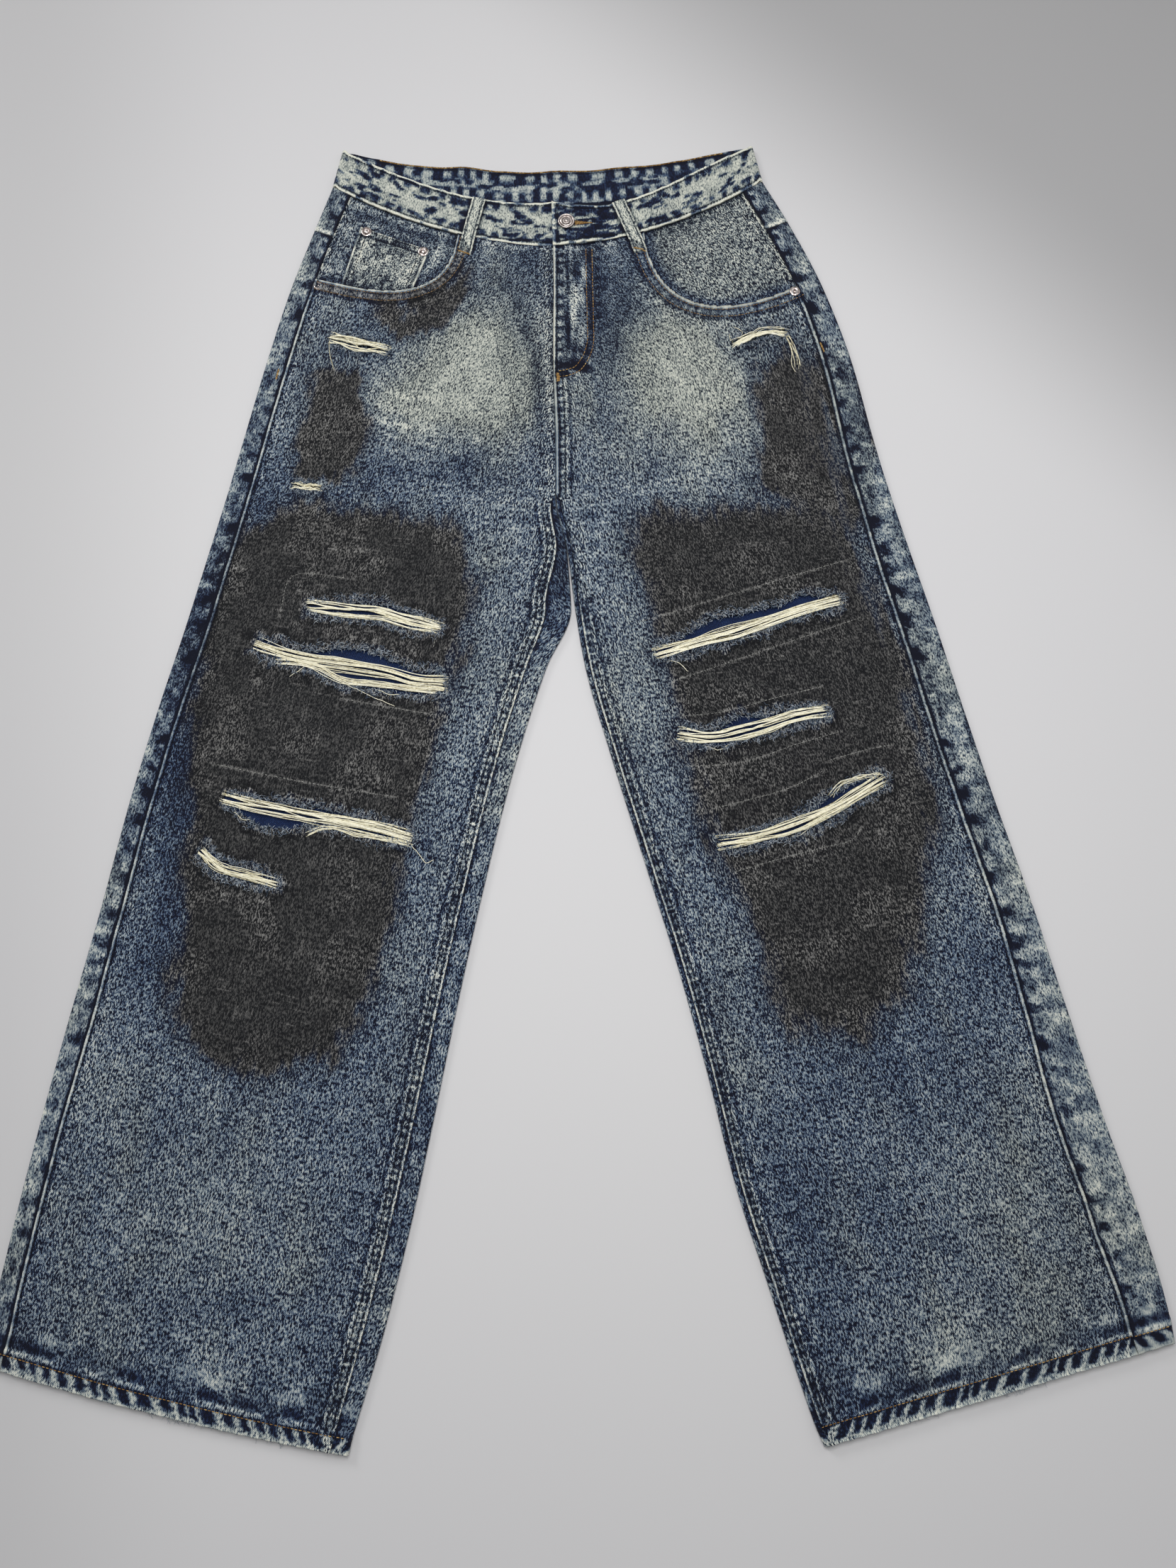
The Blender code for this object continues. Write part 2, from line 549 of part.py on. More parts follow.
def make_waistband():
    """The waistband: one strip from the end under the button, all round the back, to the end over it."""
    shares = np.array(BAND_SHARES)
    lowers, uppers, heights = [], [], []
    under_lower, under_upper = band_front_points("left", UNDER_END_SHARES)
    right_lower, right_upper = band_front_points("right", shares[::-1])
    left_lower, left_upper = band_front_points("left", shares)
    back_share = np.linspace(0.03, 0.97, 10)
    right_corner = band_front_points("right", (0.0,))
    left_corner = band_front_points("left", (0.0,))

    def lay(lower, upper, height):
        lowers.append(lower)
        uppers.append(upper)
        heights.append(height)

    def lay_front(lower, upper, lifted):
        for low, high in zip(lower, upper):
            lay(low, high, band_height(low[0], low[1], lifted))

    def turn_over(corner, side, downwards):
        low, high = corner[0][0], corner[1][0]
        radius = (band_height(low[0], low[1], False) - BAND / 2) / 2
        angles = TURN if downwards else TURN[::-1]
        for angle in angles:
            shift = -side * (radius * (1 - math.sin(angle)) + BAND / 2)
            step = np.array([shift, 0.0])
            lay(low + step, high + step, radius * (1 + math.cos(angle)) + BAND / 2)

    lay_front(under_lower, under_upper, False)
    lay_front(right_lower, right_upper, False)
    turn_over(right_corner, -1, True)
    rows = {side: leg_rows(side, np.array([0.0])) for side in LEGS}
    for share in back_share:
        side = "right" if share < 0.5 else "left"
        row = rows[side]
        reach = min(share, 1 - share) * 2
        low = across(row, row_length(row, row["back_rise"]) * reach, row["back_rise"])[0]
        low[1] += SEAM / 2
        high = np.array(BAND_TOP["right"]) * (1 - share) + np.array(BAND_TOP["left"]) * share
        high[1] -= BACK_TOP_SAG * 4 * share * (1 - share)
        lay(low, high, BAND / 2)
    turn_over(left_corner, 1, False)
    lay_front(left_lower, left_upper, True)
    lower = np.column_stack([np.array(lowers), heights])
    upper = np.column_stack([np.array(uppers), heights])
    grid = np.stack([lower, (lower + upper) / 2, upper], 1)
    add_wall("waistband", grid, BAND, "denim")


def make_belt_loops():
    """Two front belt loops, sewn over the waistband's top edge and below its seam."""
    for name, (top, bottom) in BELT_LOOPS.items():
        top, bottom = np.array(top), np.array(bottom)
        share = np.linspace(0, 1, 8)
        line = top + (bottom - top) * share[:, None]
        on_band = band_height(line[:, 0], line[:, 1], name == "belt_loop_left") + BAND / 2
        on_front = top_layer(line[:, 0], line[:, 1], DENIM) + DENIM / 2
        resting = np.where(share < LOOP_SEAM_SHARE, on_band, on_front)
        bow = LOOP_BOW * np.sin(math.pi * share) ** 2
        height = resting + SEAM + LOOP / 2 + bow
        along = (bottom - top) / np.linalg.norm(bottom - top)
        beside = np.array([-along[1], along[0]])
        grid = []
        for offset, dip in LOOP_PROFILE:
            edge = line + beside * LOOP_WIDTH * offset
            grid.append(np.column_stack([edge, height - dip]))
        add_wall(name, np.stack(grid, 1), LOOP, "denim")


def add_turned(name, place, height, profile, sides):
    """A turned piece from a profile of radius and height, closed at its middle."""
    points, faces = [], []
    for radius, z in profile:
        for i in range(sides):
            angle = 2 * math.pi * i / sides
            points.append((place[0] + radius * math.cos(angle), place[1] + radius * math.sin(angle), height + z))
    for ring in range(len(profile) - 1):
        for i in range(sides):
            j = (i + 1) % sides
            faces.append([ring * sides + i, ring * sides + j, (ring + 1) * sides + j, (ring + 1) * sides + i])
    faces.append(list(range(sides)))
    faces.append(list(range((len(profile) - 1) * sides, len(profile) * sides)))
    return add_solid(name, points, faces, "metal")


def make_metal():
    """The waist button and the four pocket rivets."""
    x, y = (np.array(value) for value in BUTTON_PLACE)
    base = float(band_height(x, y, True)) + BAND / 2 + SEAM
    r = BUTTON_RADIUS
    add_turned("button", BUTTON_PLACE, base,
               ((r * 0.5, 0.0), (r * 0.5, 0.8), (r, 1.1), (r, 2.0), (r * 0.92, 2.6), (r * 0.8, 2.3),
                (r * 0.72, 2.5), (r * 0.35, 2.3), (r * 0.3, 2.7)), 20)
    for name, place in RIVETS.items():
        x, y = (np.array(value) for value in place)
        base = float(top_layer(x, y, DENIM)) + DENIM / 2
        if "coin" in name:
            base += COIN_LIFT + PATCH / 2 - DENIM / 2
        r = RIVET_RADIUS
        add_turned(name, place, base + SEAM + 0.1,
                   ((r * 0.92, 0.0), (r, 0.25), (r * 0.9, 0.7), (r * 0.55, 1.0), (r * 0.35, 0.75)), 12)


def make_patches():
    """The backing patches: thin cloths in the space between front and back, seen through the rips."""
    for name, corners in PATCHES.items():
        a, b, c, d = (np.array(p) for p in corners)
        spot = np.array([[a, (a + b) / 2, b], [d, (c + d) / 2, c]])
        grid = np.concatenate([spot, np.full((2, 3, 1), PATCH_MIDDLE)], -1)
        add_wall(name, grid, PATCH, "patch_cloth")


def strand_paths(rip, seed):
    """Points of the strands of a rip, strand by strand, from one end to the other, and their heights."""
    start, along, beside, length = rip_frame(rip)
    t = np.linspace(0, 1, STRAND_SPANS + 1)
    reach = ROOT_LENGTH + SEAM
    inner = (reach + (length - 2 * reach) * t) / length
    middle = rip_middle(rip, inner)
    belly = np.sin(math.pi * t)
    rng = np.random.default_rng(seed)
    paths, ends = [], []
    for count, shift, end_shift, spread in reversed(rip[6]):
        pitch = spread / count
        wave = rng.uniform(-STRAND_WAVE, STRAND_WAVE, (count, len(t))) * pitch * belly
        lift = rng.uniform(-0.15, 0.75, (count, len(t))) * belly
        for i in range(count):
            offset = (i - (count - 1) / 2) * pitch
            aside = offset + wave[i] + end_shift + (shift - end_shift) * belly
            paths.append(np.column_stack([middle + beside * aside[:, None], lift[i]]))
            ends.append(offset + end_shift)
    return paths, ends


def make_threads():
    """The loose weft threads across each rip: square strands between a root strip at either end."""
    for seed, (name, rip) in enumerate(RIPS.items()):
        start, along, beside, length = rip_frame(rip)
        paths, ends = strand_paths(rip, seed)
        half = STRAND / 2
        points, faces = [], []
        rings = []
        for path in paths:
            level = top_layer(path[:, 0], path[:, 1], DENIM) + path[:, 2]
            ring_numbers = []
            for (x, y, _), z in zip(path, level):
                ring_numbers.append(len(points))
                for side_way, up in ((-1, -1), (1, -1), (1, 1), (-1, 1)):
                    points.append((x + beside[0] * half * side_way, y + beside[1] * half * side_way,
                                   z + half * up))
            rings.append(ring_numbers)
            for a, b in zip(ring_numbers, ring_numbers[1:]):
                for i in range(4):
                    j = (i + 1) % 4
                    faces.append([a + i, a + j, b + j, b + i])
        for end, outward in ((0, -1), (-1, 1)):
            first = np.array(points[rings[0][end]])
            last = np.array(points[rings[-1][end] + 1])
            side_step = np.array([beside[0], beside[1], 0.0]) * 0.6
            out_step = np.array([along[0], along[1], 0.0]) * ROOT_LENGTH * outward
            up_step = np.array([0.0, 0.0, STRAND])
            low_edge, high_edge = first - side_step, last + side_step
            low_edge[2] = first[2]
            high_edge[2] = last[2]
            corner = len(points)
            points += [tuple(low_edge), tuple(high_edge), tuple(low_edge + out_step), tuple(high_edge + out_step)]
            points += [tuple(low_edge + up_step), tuple(high_edge + up_step),
                       tuple(low_edge + out_step + up_step), tuple(high_edge + out_step + up_step)]
            low_line, high_line = [corner], [corner + 4]
            for ring in rings:
                low_line += [ring[end], ring[end] + 1]
                high_line += [ring[end] + 3, ring[end] + 2]
            low_line.append(corner + 1)
            high_line.append(corner + 5)
            for i in range(0, len(low_line) - 1, 2):
                faces.append([low_line[i], low_line[i + 1], high_line[i + 1], high_line[i]])
            halfway = len(low_line) // 2
            for line, near, far in ((low_line, corner + 2, corner + 3), (high_line, corner + 6, corner + 7)):
                for i in range(len(line) - 1):
                    faces.append([line[i], line[i + 1], near if i < halfway else far])
                faces.append([line[halfway], far, near])
            faces.append([corner + 2, corner + 3, corner + 7, corner + 6])
            faces.append([corner, corner + 2, corner + 6, corner + 4])
            faces.append([corner + 1, corner + 3, corner + 7, corner + 5])
        add_solid(name, points, faces, "thread", smooth=False)


def main():
    """Make every piece."""
    clear_scene()
    make_fronts()
    make_backs()
    make_pockets()
    make_waistband()
    make_belt_loops()
    make_metal()
    make_patches()
    make_threads()


main()
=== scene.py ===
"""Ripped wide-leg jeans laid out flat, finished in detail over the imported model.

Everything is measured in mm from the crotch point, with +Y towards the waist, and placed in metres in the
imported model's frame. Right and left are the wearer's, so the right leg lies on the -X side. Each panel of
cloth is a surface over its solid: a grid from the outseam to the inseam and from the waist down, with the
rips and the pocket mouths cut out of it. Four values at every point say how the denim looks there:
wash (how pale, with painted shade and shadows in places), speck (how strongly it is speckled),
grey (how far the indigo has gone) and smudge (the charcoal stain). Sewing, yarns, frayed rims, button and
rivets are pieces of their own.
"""
import math

import bpy
import numpy as np
from mathutils import Matrix, Vector
from mathutils.bvhtree import BVHTree


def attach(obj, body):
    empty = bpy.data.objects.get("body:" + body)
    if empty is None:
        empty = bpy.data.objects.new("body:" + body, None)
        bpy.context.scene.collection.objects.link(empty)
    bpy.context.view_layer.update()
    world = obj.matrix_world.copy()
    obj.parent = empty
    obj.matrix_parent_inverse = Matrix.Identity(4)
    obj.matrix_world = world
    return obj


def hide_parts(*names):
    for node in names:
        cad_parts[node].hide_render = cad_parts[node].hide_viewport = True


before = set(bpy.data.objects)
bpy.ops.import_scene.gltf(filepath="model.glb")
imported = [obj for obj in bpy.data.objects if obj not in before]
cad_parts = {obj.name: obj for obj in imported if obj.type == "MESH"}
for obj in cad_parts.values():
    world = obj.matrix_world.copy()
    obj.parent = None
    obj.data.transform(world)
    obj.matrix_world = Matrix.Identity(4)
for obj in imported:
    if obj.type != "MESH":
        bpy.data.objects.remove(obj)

bl_info = {
    "name": "Ripped jeans",
    "version": (1, 0, 0),
    "blender": (4, 5, 0),
    "location": "View3D > Sidebar > Jeans",
    "description": "Builds the denim, sewing, rips, metal and studio of a pair of ripped jeans",
    "category": "Object",
}

MM = 0.001

# How many patches the random field has each way before it repeats
FIELD = (61, 67)

# Cloth thicknesses and the spaces between layers, in mm
DENIM = 1.2
HEM = 2.4
BAND = 2.0
PATCH = 1.0
LOOP = 1.4
SEAM = 0.3
BETWEEN = 2.1
BAND_BETWEEN = 1.5
HEM_BETWEEN = 1.5
PATCH_MIDDLE = 2.3

# The gap at the waist seam and at the yoke seam, as a share of the distance to the next station
WAIST_STEP = 45.0
YOKE_STEP = 42.0
WAIST_GAP = SEAM / 2 / WAIST_STEP
YOKE_GAP = SEAM / 2 / YOKE_STEP

# Stations down a leg, measured in mm from the crotch point. Each has the ends of the row of cloth from
# the outer fold to the inner fold (above the crotch to the centre seam), how far that row sags between
# them, how much higher the back's row ends at the centre, how wide the strips of the back are that show
# beside the outseam and the inseam, and the thickness of the cloth.
COLUMNS = ("outer_x", "outer_y", "inner_x", "inner_y", "sag", "back_rise", "outseam", "inseam", "cloth")
RIGHT_LEG = {
    "waist":      (-194.5, 324.0, 8.2, 253.4, 14.0, 42.0, 18.0, 0.0, DENIM),
    "yoke":       (-210.6, 277.5, 7.9, 215.1, 6.0, 12.0, 18.0, 0.0, DENIM),
    "pocket":     (-231.7, 213.9, 6.2, 164.4, 2.0, 0.0, 19.0, 0.0, DENIM),
    "hip":        (-250.7, 142.6, 5.4, 111.3, 0.0, 0.0, 19.0, 0.0, DENIM),
    "seat":       (-267.3, 73.5, 5.2, 52.5, 0.0, 0.0, 19.0, 0.0, DENIM),
    "fork":       (-277.8, 29.0, 4.4, 8.0, 0.0, 0.0, 19.0, 0.0, DENIM),
    "crotch":     (-279.9, 20.0, 4.6, 0.0, 0.0, 0.0, 19.0, 4.2, DENIM),
    "bridge":     (-288.0, -12.0, 13.0, -46.0, 0.0, 0.0, 19.0, 9.5, DENIM),
    "gap":        (-299.5, -57.0, 15.0, -98.0, 0.0, 0.0, 19.0, 22.0, DENIM),
    "thigh":      (-311.0, -102.1, -7.0, -149.5, 0.0, 0.0, 19.0, 16.5, DENIM),
    "low_thigh":  (-331.2, -176.4, -37.9, -243.2, 0.0, 0.0, 18.0, 15.5, DENIM),
    "knee":       (-351.3, -258.2, -61.7, -333.1, 0.0, 0.0, 17.5, 15.0, DENIM),
    "calf":       (-369.1, -343.3, -82.2, -419.3, 0.0, 0.0, 17.0, 14.8, DENIM),
    "shin":       (-387.4, -423.3, -102.4, -511.6, 0.0, 0.0, 18.0, 15.0, DENIM),
    "low_shin":   (-405.2, -505.6, -120.7, -591.7, 1.0, 0.0, 16.5, 15.3, DENIM),
    "ankle":      (-422.6, -594.7, -140.4, -665.2, 2.5, 0.0, 16.0, 15.0, DENIM),
    "hem_line":   (-433.6, -658.5, -160.6, -728.5, 4.0, 0.0, 16.0, 13.5, DENIM),
    "hem_turn":   (-434.0, -661.0, -161.4, -731.0, 4.0, 0.0, 16.0, 13.5, HEM),
    "hem_edge":   (-436.0, -675.1, -164.6, -744.6, 4.0, 0.0, 16.0, 13.5, HEM),
}
LEFT_LEG = {
    "waist":      (204.6, 317.4, 8.2, 253.4, 14.0, 42.0, 20.0, 0.0, DENIM),
    "yoke":       (225.0, 273.5, 7.9, 215.1, 6.0, 12.0, 21.5, 0.0, DENIM),
    "pocket":     (253.0, 201.4, 6.2, 164.4, 2.0, 0.0, 22.5, 0.0, DENIM),
    "hip":        (272.5, 126.1, 5.4, 111.3, 0.0, 0.0, 24.0, 0.0, DENIM),
    "seat":       (284.2, 56.0, 5.2, 52.5, 0.0, 0.0, 26.0, 0.0, DENIM),
    "fork":       (292.0, 14.0, 4.4, 8.0, 0.0, 0.0, 27.0, 0.0, DENIM),
    "crotch":     (293.9, 5.0, 4.6, 0.0, 0.0, 0.0, 27.0, 4.2, DENIM),
    "bridge":     (301.5, -30.0, 13.0, -46.0, 0.0, 0.0, 28.0, 4.2, DENIM),
    "gap":        (311.6, -74.0, 18.0, -98.0, 0.0, 0.0, 29.0, 4.2, DENIM),
    "thigh":      (321.6, -117.1, 24.5, -147.2, 0.0, 0.0, 29.0, 4.2, DENIM),
    "low_thigh":  (338.6, -196.4, 43.0, -224.6, 0.0, 0.0, 29.5, 4.2, DENIM),
    "knee":       (356.4, -276.5, 68.5, -319.9, 0.0, 0.0, 29.0, 4.2, DENIM),
    "calf":       (376.0, -357.2, 90.5, -402.1, 0.0, 0.0, 29.0, 4.2, DENIM),
    "shin":       (394.0, -441.6, 109.5, -484.8, 0.0, 0.0, 32.0, 4.2, DENIM),
    "low_shin":   (412.5, -526.3, 126.5, -568.5, 0.0, 0.0, 36.0, 4.2, DENIM),
    "ankle":      (430.7, -600.6, 146.5, -640.0, 0.0, 0.0, 36.0, 4.2, DENIM),
    "hem_line":   (443.0, -670.0, 173.0, -732.0, 0.0, 0.0, 32.0, 4.2, DENIM),
    "hem_turn":   (443.2, -672.5, 173.8, -734.5, 0.0, 0.0, 32.0, 4.2, HEM),
    "hem_edge":   (443.9, -688.0, 179.8, -749.6, 0.0, 0.0, 30.0, 4.2, HEM),
}
STATIONS = tuple(RIGHT_LEG)
RISE_FLATTENS = 60.0
LEGS = {"right": RIGHT_LEG, "left": LEFT_LEG}
SIDE = {"right": -1, "left": 1}

# The part's origin is the middle of the outline, seen from above
HEM_LEFT_X = LEFT_LEG["hem_edge"][0]
HEM_RIGHT_X = RIGHT_LEG["hem_edge"][0]
WAIST_TOP_Y = 362.2
LOWEST_Y = LEFT_LEG["hem_edge"][3]
ORIGIN = np.array([(HEM_LEFT_X + HEM_RIGHT_X) / 2, (WAIST_TOP_Y + LOWEST_Y) / 2])

# Soft folds of the top layer: middle, direction in degrees, length, width and height, in mm
FOLD_COLUMNS = ("x", "y", "angle", "length", "width", "height")
FOLD_TAPER = 2.2
FOLDS = (
    (-60.0, 40.0, 172.0, 150.0, 15.0, 0.9),
    (-95.0, 72.0, 168.0, 190.0, 18.0, 0.7),
    (-50.0, -10.0, 165.0, 120.0, 16.0, 0.8),
    (70.0, 38.0, 8.0, 150.0, 15.0, 0.9),
    (110.0, 70.0, 10.0, 180.0, 17.0, 0.6),
    (62.0, -22.0, 14.0, 120.0, 15.0, 0.8),
    (-215.0, 60.0, 100.0, 130.0, 22.0, 0.7),
    (238.0, 45.0, 78.0, 140.0, 22.0, 0.8),
    (-185.0, -205.0, 168.0, 200.0, 20.0, 0.8),
    (190.0, -250.0, 12.0, 190.0, 18.0, 0.8),
    (-215.0, -365.0, 165.0, 210.0, 22.0, 0.9),
    (225.0, -385.0, 12.0, 200.0, 24.0, 0.8),
    (-300.0, -560.0, 78.0, 190.0, 30.0, 1.0),
    (-215.0, -600.0, 84.0, 170.0, 26.0, 0.8),
    (280.0, -560.0, 98.0, 200.0, 30.0, 1.0),
    (375.0, -590.0, 104.0, 160.0, 24.0, 0.9),
)

# Waistband: where its top edge lies on the front and at the back, and the overlap at the button
BAND_TOP = {"right": (-185.9, WAIST_TOP_Y), "left": (197.7, 354.7)}
BAND_TOP_CENTRE = (8.0, 300.0)
BAND_TOP_SAG = {"right": (16.0, 0.2), "left": (18.0, 0.8)}
BACK_TOP_SAG = 22.0
OVERLAP_END = 43.0
OVERLAP_LIFT = 2.3
OVERLAP_SLOPE = 14.0
UNDER_END_SHARES = (0.84, 0.93)
BAND_SHARES = (0.03, 0.14, 0.26, 0.38, 0.5, 0.62, 0.7, 0.745, 0.83, 0.92, 1.0)
FLY_LIFT = 1.1
FLY_WIDTH = 36.0
FLY_END_Y = 121.0

# Front pocket mouths, as cubic curves from the waist seam to the outseam
POCKET_MOUTH = {
    "right": ((-79.0, 266.0), (-88.0, 209.0), (-128.0, 200.0), (-209.0, 227.0)),
    "left": ((92.0, 264.0), (97.0, 196.0), (142.0, 164.0), (231.0, 206.5)),
}
FACING_ROWS = {"right": 2.12, "left": 2.36}
FACING_SHARE = {"right": 0.72, "left": 0.68}
FACING_STEP = 1.55
FACING_EDGE = -0.02
COIN_LIFT = DENIM / 2 + SEAM + PATCH / 2 - FACING_STEP
COIN_CORNERS = ((-167.7, 279.9), (-105.2, 253.3), (-122.5, 208.0), (-187.0, 214.0))
RIVETS = {
    "rivet_coin_outer": (-162.4, 274.5),
    "rivet_coin_inner": (-110.4, 252.0),
    "rivet_pocket_right": (-205.0, 219.0),
    "rivet_pocket_left": (226.0, 200.0),
}
RIVET_RADIUS = 4.8
BUTTON_PLACE = (21.1, 276.2)
BUTTON_RADIUS = 7.6

# Belt loops: their width, the bow of their middle, where along them the waist seam lies, and the top and
# bottom end of each on the front
LOOP_WIDTH = 12.0
LOOP_BOW = 0.8
LOOP_SEAM_SHARE = 0.84
BELT_LOOPS = {
    "belt_loop_right": ((-58.5, 305.5), (-73.0, 248.0)),
    "belt_loop_left": ((69.5, 298.5), (88.3, 246.0)),
}

# Backing patches behind the rips: the four corners of each cloth, clockwise from the upper outer one
PATCHES = {
    "patch_thigh_right": ((-262.0, -92.0), (-84.0, -80.0), (-78.0, -196.0), (-250.0, -176.0)),
    "patch_knee_right": ((-292.0, -236.0), (-104.0, -262.0), (-118.0, -336.0), (-306.0, -318.0)),
    "patch_thigh_left": ((72.0, -114.0), (256.0, -66.0), (268.0, -112.0), (88.0, -168.0)),
    "patch_low_thigh_left": ((90.0, -190.0), (238.0, -172.0), (242.0, -214.0), (92.0, -244.0)),
    "patch_knee_left": ((112.0, -272.0), (276.0, -224.0), (284.0, -284.0), (124.0, -340.0)),
}


def monotone(knots, values, at):
    """Smooth curve through the values that never swings past them (harmonic-mean slopes)."""
    steps = np.diff(knots)
    slopes = np.diff(values) / steps
    tangents = np.zeros(len(values))
    before, after = slopes[:-1], slopes[1:]
    same_way = before * after > 0
    near, far = 2 * steps[1:] + steps[:-1], steps[1:] + 2 * steps[:-1]
    with np.errstate(divide="ignore", invalid="ignore"):
        mean = (near + far) / (near / before + far / after)
    tangents[1:-1] = np.where(same_way, mean, 0.0)
    tangents[0], tangents[-1] = slopes[0], slopes[-1]
    span = np.clip(np.searchsorted(knots, at, side="right") - 1, 0, len(steps) - 1)
    t = (at - knots[span]) / steps[span]
    return (values[span] * (1 + 2 * t) * (1 - t) ** 2 + values[span + 1] * t * t * (3 - 2 * t)
            + steps[span] * (tangents[span] * t * (1 - t) ** 2 - tangents[span + 1] * t * t * (1 - t)))


def run_along(line):
    """How far along a line each of its points lies, in mm."""
    return np.concatenate([[0], np.cumsum(np.linalg.norm(np.diff(line, axis=0), axis=1))])


def read_line(line, run, at):
    """The places at the distances at on a line whose points lie at the distances run."""
    return np.column_stack([np.interp(at, run, line[:, k]) for k in (0, 1)])


def headings(line):
    """The direction of a line at each of its points, and the direction to its left."""
    way = np.gradient(line, axis=0)
    way /= np.linalg.norm(way, axis=1, keepdims=True)
    return way, np.column_stack([-way[:, 1], way[:, 0]])


def raised(spot, height):
    """Places seen from above, together with their heights."""
    return np.concatenate([spot, height[..., None]], -1)


def leg_rows(side, rows):
    """The station table read at the given rows (0 is the waist), as one dict of arrays."""
    table = np.array(list(LEGS[side].values()))
    middles = (table[:, 0:2] + table[:, 2:4]) / 2
    knots = run_along(middles)
    at = np.interp(rows, np.arange(len(knots)), knots)
    return {column: monotone(knots, table[:, i], at) for i, column in enumerate(COLUMNS)}


def station(name):
    """The row number of a named station."""
    return float(STATIONS.index(name))


def fold_height(x, y):
    """How much the soft folds lift the top layer: a bump along each fold's line."""
    lift = np.zeros(np.broadcast(x, y).shape)
    for fold in FOLDS:
        f = dict(zip(FOLD_COLUMNS, fold))
        turn = math.radians(f["angle"])
        along = (x - f["x"]) * math.cos(turn) + (y - f["y"]) * math.sin(turn)
        across = (y - f["y"]) * math.cos(turn) - (x - f["x"]) * math.sin(turn)
        bump = np.exp(-(FOLD_TAPER * along / f["length"]) ** 2 - (across / f["width"]) ** 2)
        lift = lift + f["height"] * bump
    return lift


def ease(value, low, high):
    """0 below low, 1 above high, and a smooth step between."""
    t = np.clip((value - low) / (high - low), 0, 1)
    return t * t * (3 - 2 * t)


def fly_height(x, y):
    """How much the fly lifts the left front, which laps over the right one at the centre seam."""
    beside = 1 - ease(x, FLY_WIDTH, FLY_WIDTH + 12.0)
    return FLY_LIFT * beside * ease(x, 0.0, 5.0) * ease(y, FLY_END_Y - 20, FLY_END_Y + 12)


def top_layer(x, y, cloth):
    """The height of the middle of the top layer's cloth."""
    between = np.interp(cloth, (DENIM, HEM), (BETWEEN, HEM_BETWEEN))
    return cloth * 1.5 + between + fold_height(x, y) + fly_height(x, y)


def across(row, distance, rise=0.0):
    """Points at a distance from the outer fold along a row, sagging between its ends."""
    outer = np.stack([row["outer_x"], row["outer_y"]], -1)
    inner = np.stack([row["inner_x"], row["inner_y"] + rise], -1)
    length = np.linalg.norm(inner - outer, axis=-1)
    share = distance / length
    spot = outer + (inner - outer) * share[..., None]
    spot[..., 1] -= row["sag"] * (4 * share * (1 - share)) * (1 - rise / RISE_FLATTENS)
    return spot


def row_length(row, rise=0.0):
    """The straight distance from the outer fold to the row's inner end."""
    return np.hypot(row["inner_x"] - row["outer_x"], row["inner_y"] + rise - row["outer_y"])


def curve_points(corners, count):
    """Points along a cubic curve with the given four control points."""
    t = np.linspace(0, 1, count)[:, None]
    a, b, c, d = (np.array(p) for p in corners)
    return a * (1 - t) ** 3 + 3 * b * t * (1 - t) ** 2 + 3 * c * t * t * (1 - t) + d * t ** 3


def band_front_points(side, shares):
    """Lower and upper edge of the front waistband, from the outer fold to the centre."""
    row = {key: value[:1] for key, value in leg_rows(side, np.array([0.0])).items()}
    lower = np.array([across(row, row_length(row) * share)[0] for share in shares])
    lower[:, 1] += SEAM / 2
    start, end = np.array(BAND_TOP[side]), np.array(BAND_TOP_CENTRE)
    sag, skew = BAND_TOP_SAG[side]
    share = np.array(shares)[:, None]
    upper = start + (end - start) * share
    upper[:, 1] -= (sag * 4 * share * (1 - share) * (1 + skew * (2 * share - 1)))[:, 0]
    return lower, upper


def band_height(x, y, lifted):
    """Height of the middle of the front waistband; the left end laps over the right one."""
    lift = OVERLAP_LIFT * (1 - ease(x, OVERLAP_END, OVERLAP_END + OVERLAP_SLOPE)) if lifted else 0.0
    return BAND * 1.5 + BAND_BETWEEN + fold_height(x, y) + lift


# The fly's stitched J, the coin pocket's hem, the hems' step to the row above them, and how far the edge
# of a hole wanders, in mm
FLY_STITCH = ((43.8, 250.8), (43.2, 213.9), (42.7, 177.6), (41.1, 149.0), (35.6, 135.0), (27.0, 124.7),
              (17.5, 121.4), (8.0, 120.3))
COIN_HEM = 6.5
HEM_STEP = 15.0
HOLE_WAVE = 1.3

# Charcoal stains: how far their depth is worked out, and outline, softness of their edge and strength
SMUDGE_REACH = 44.0
SMUDGES = (
    (((-271, -13), (-278, -52), (-296, -128), (-300, -177), (-301, -256), (-299, -337), (-310, -398),
      (-295, -448), (-249, -482), (-197, -470), (-178, -462), (-154, -409), (-137, -359), (-123, -299),
      (-103, -232), (-85, -153), (-70, -97), (-65, -59), (-84, -15), (-158, 2), (-219, -1)), 16.0, 1.0),
    (((-214, 134), (-170, 138), (-160, 98), (-166, 62), (-172, 28), (-226, 24), (-224, 72)), 9.0, 0.85),
    (((-158, 210), (-130, 196), (-96, 218), (-70, 232), (-62, 205), (-88, 178), (-130, 166), (-160, 180)),
     9.0, 0.75),
    (((78, -7), (71, -47), (81, -95), (88, -140), (103, -221), (113, -286), (141, -351), (154, -402),
      (165, -446), (195, -463), (240, -460), (272, -425), (294, -360), (313, -300), (311, -233),
      (303, -172), (289, -102), (275, -53), (254, -20), (186, -4)), 20.0, 0.9),
    (((190, 128), (221, 143), (255, 132), (274, 92), (277, 30), (270, -43), (227, -28), (187, 13),
      (178, 68)), 12.0, 0.9),
)
# The denim's wash and speckle where nothing has worn it
PLAIN_WASH = 0.298
PLAIN_SPECK = 0.12
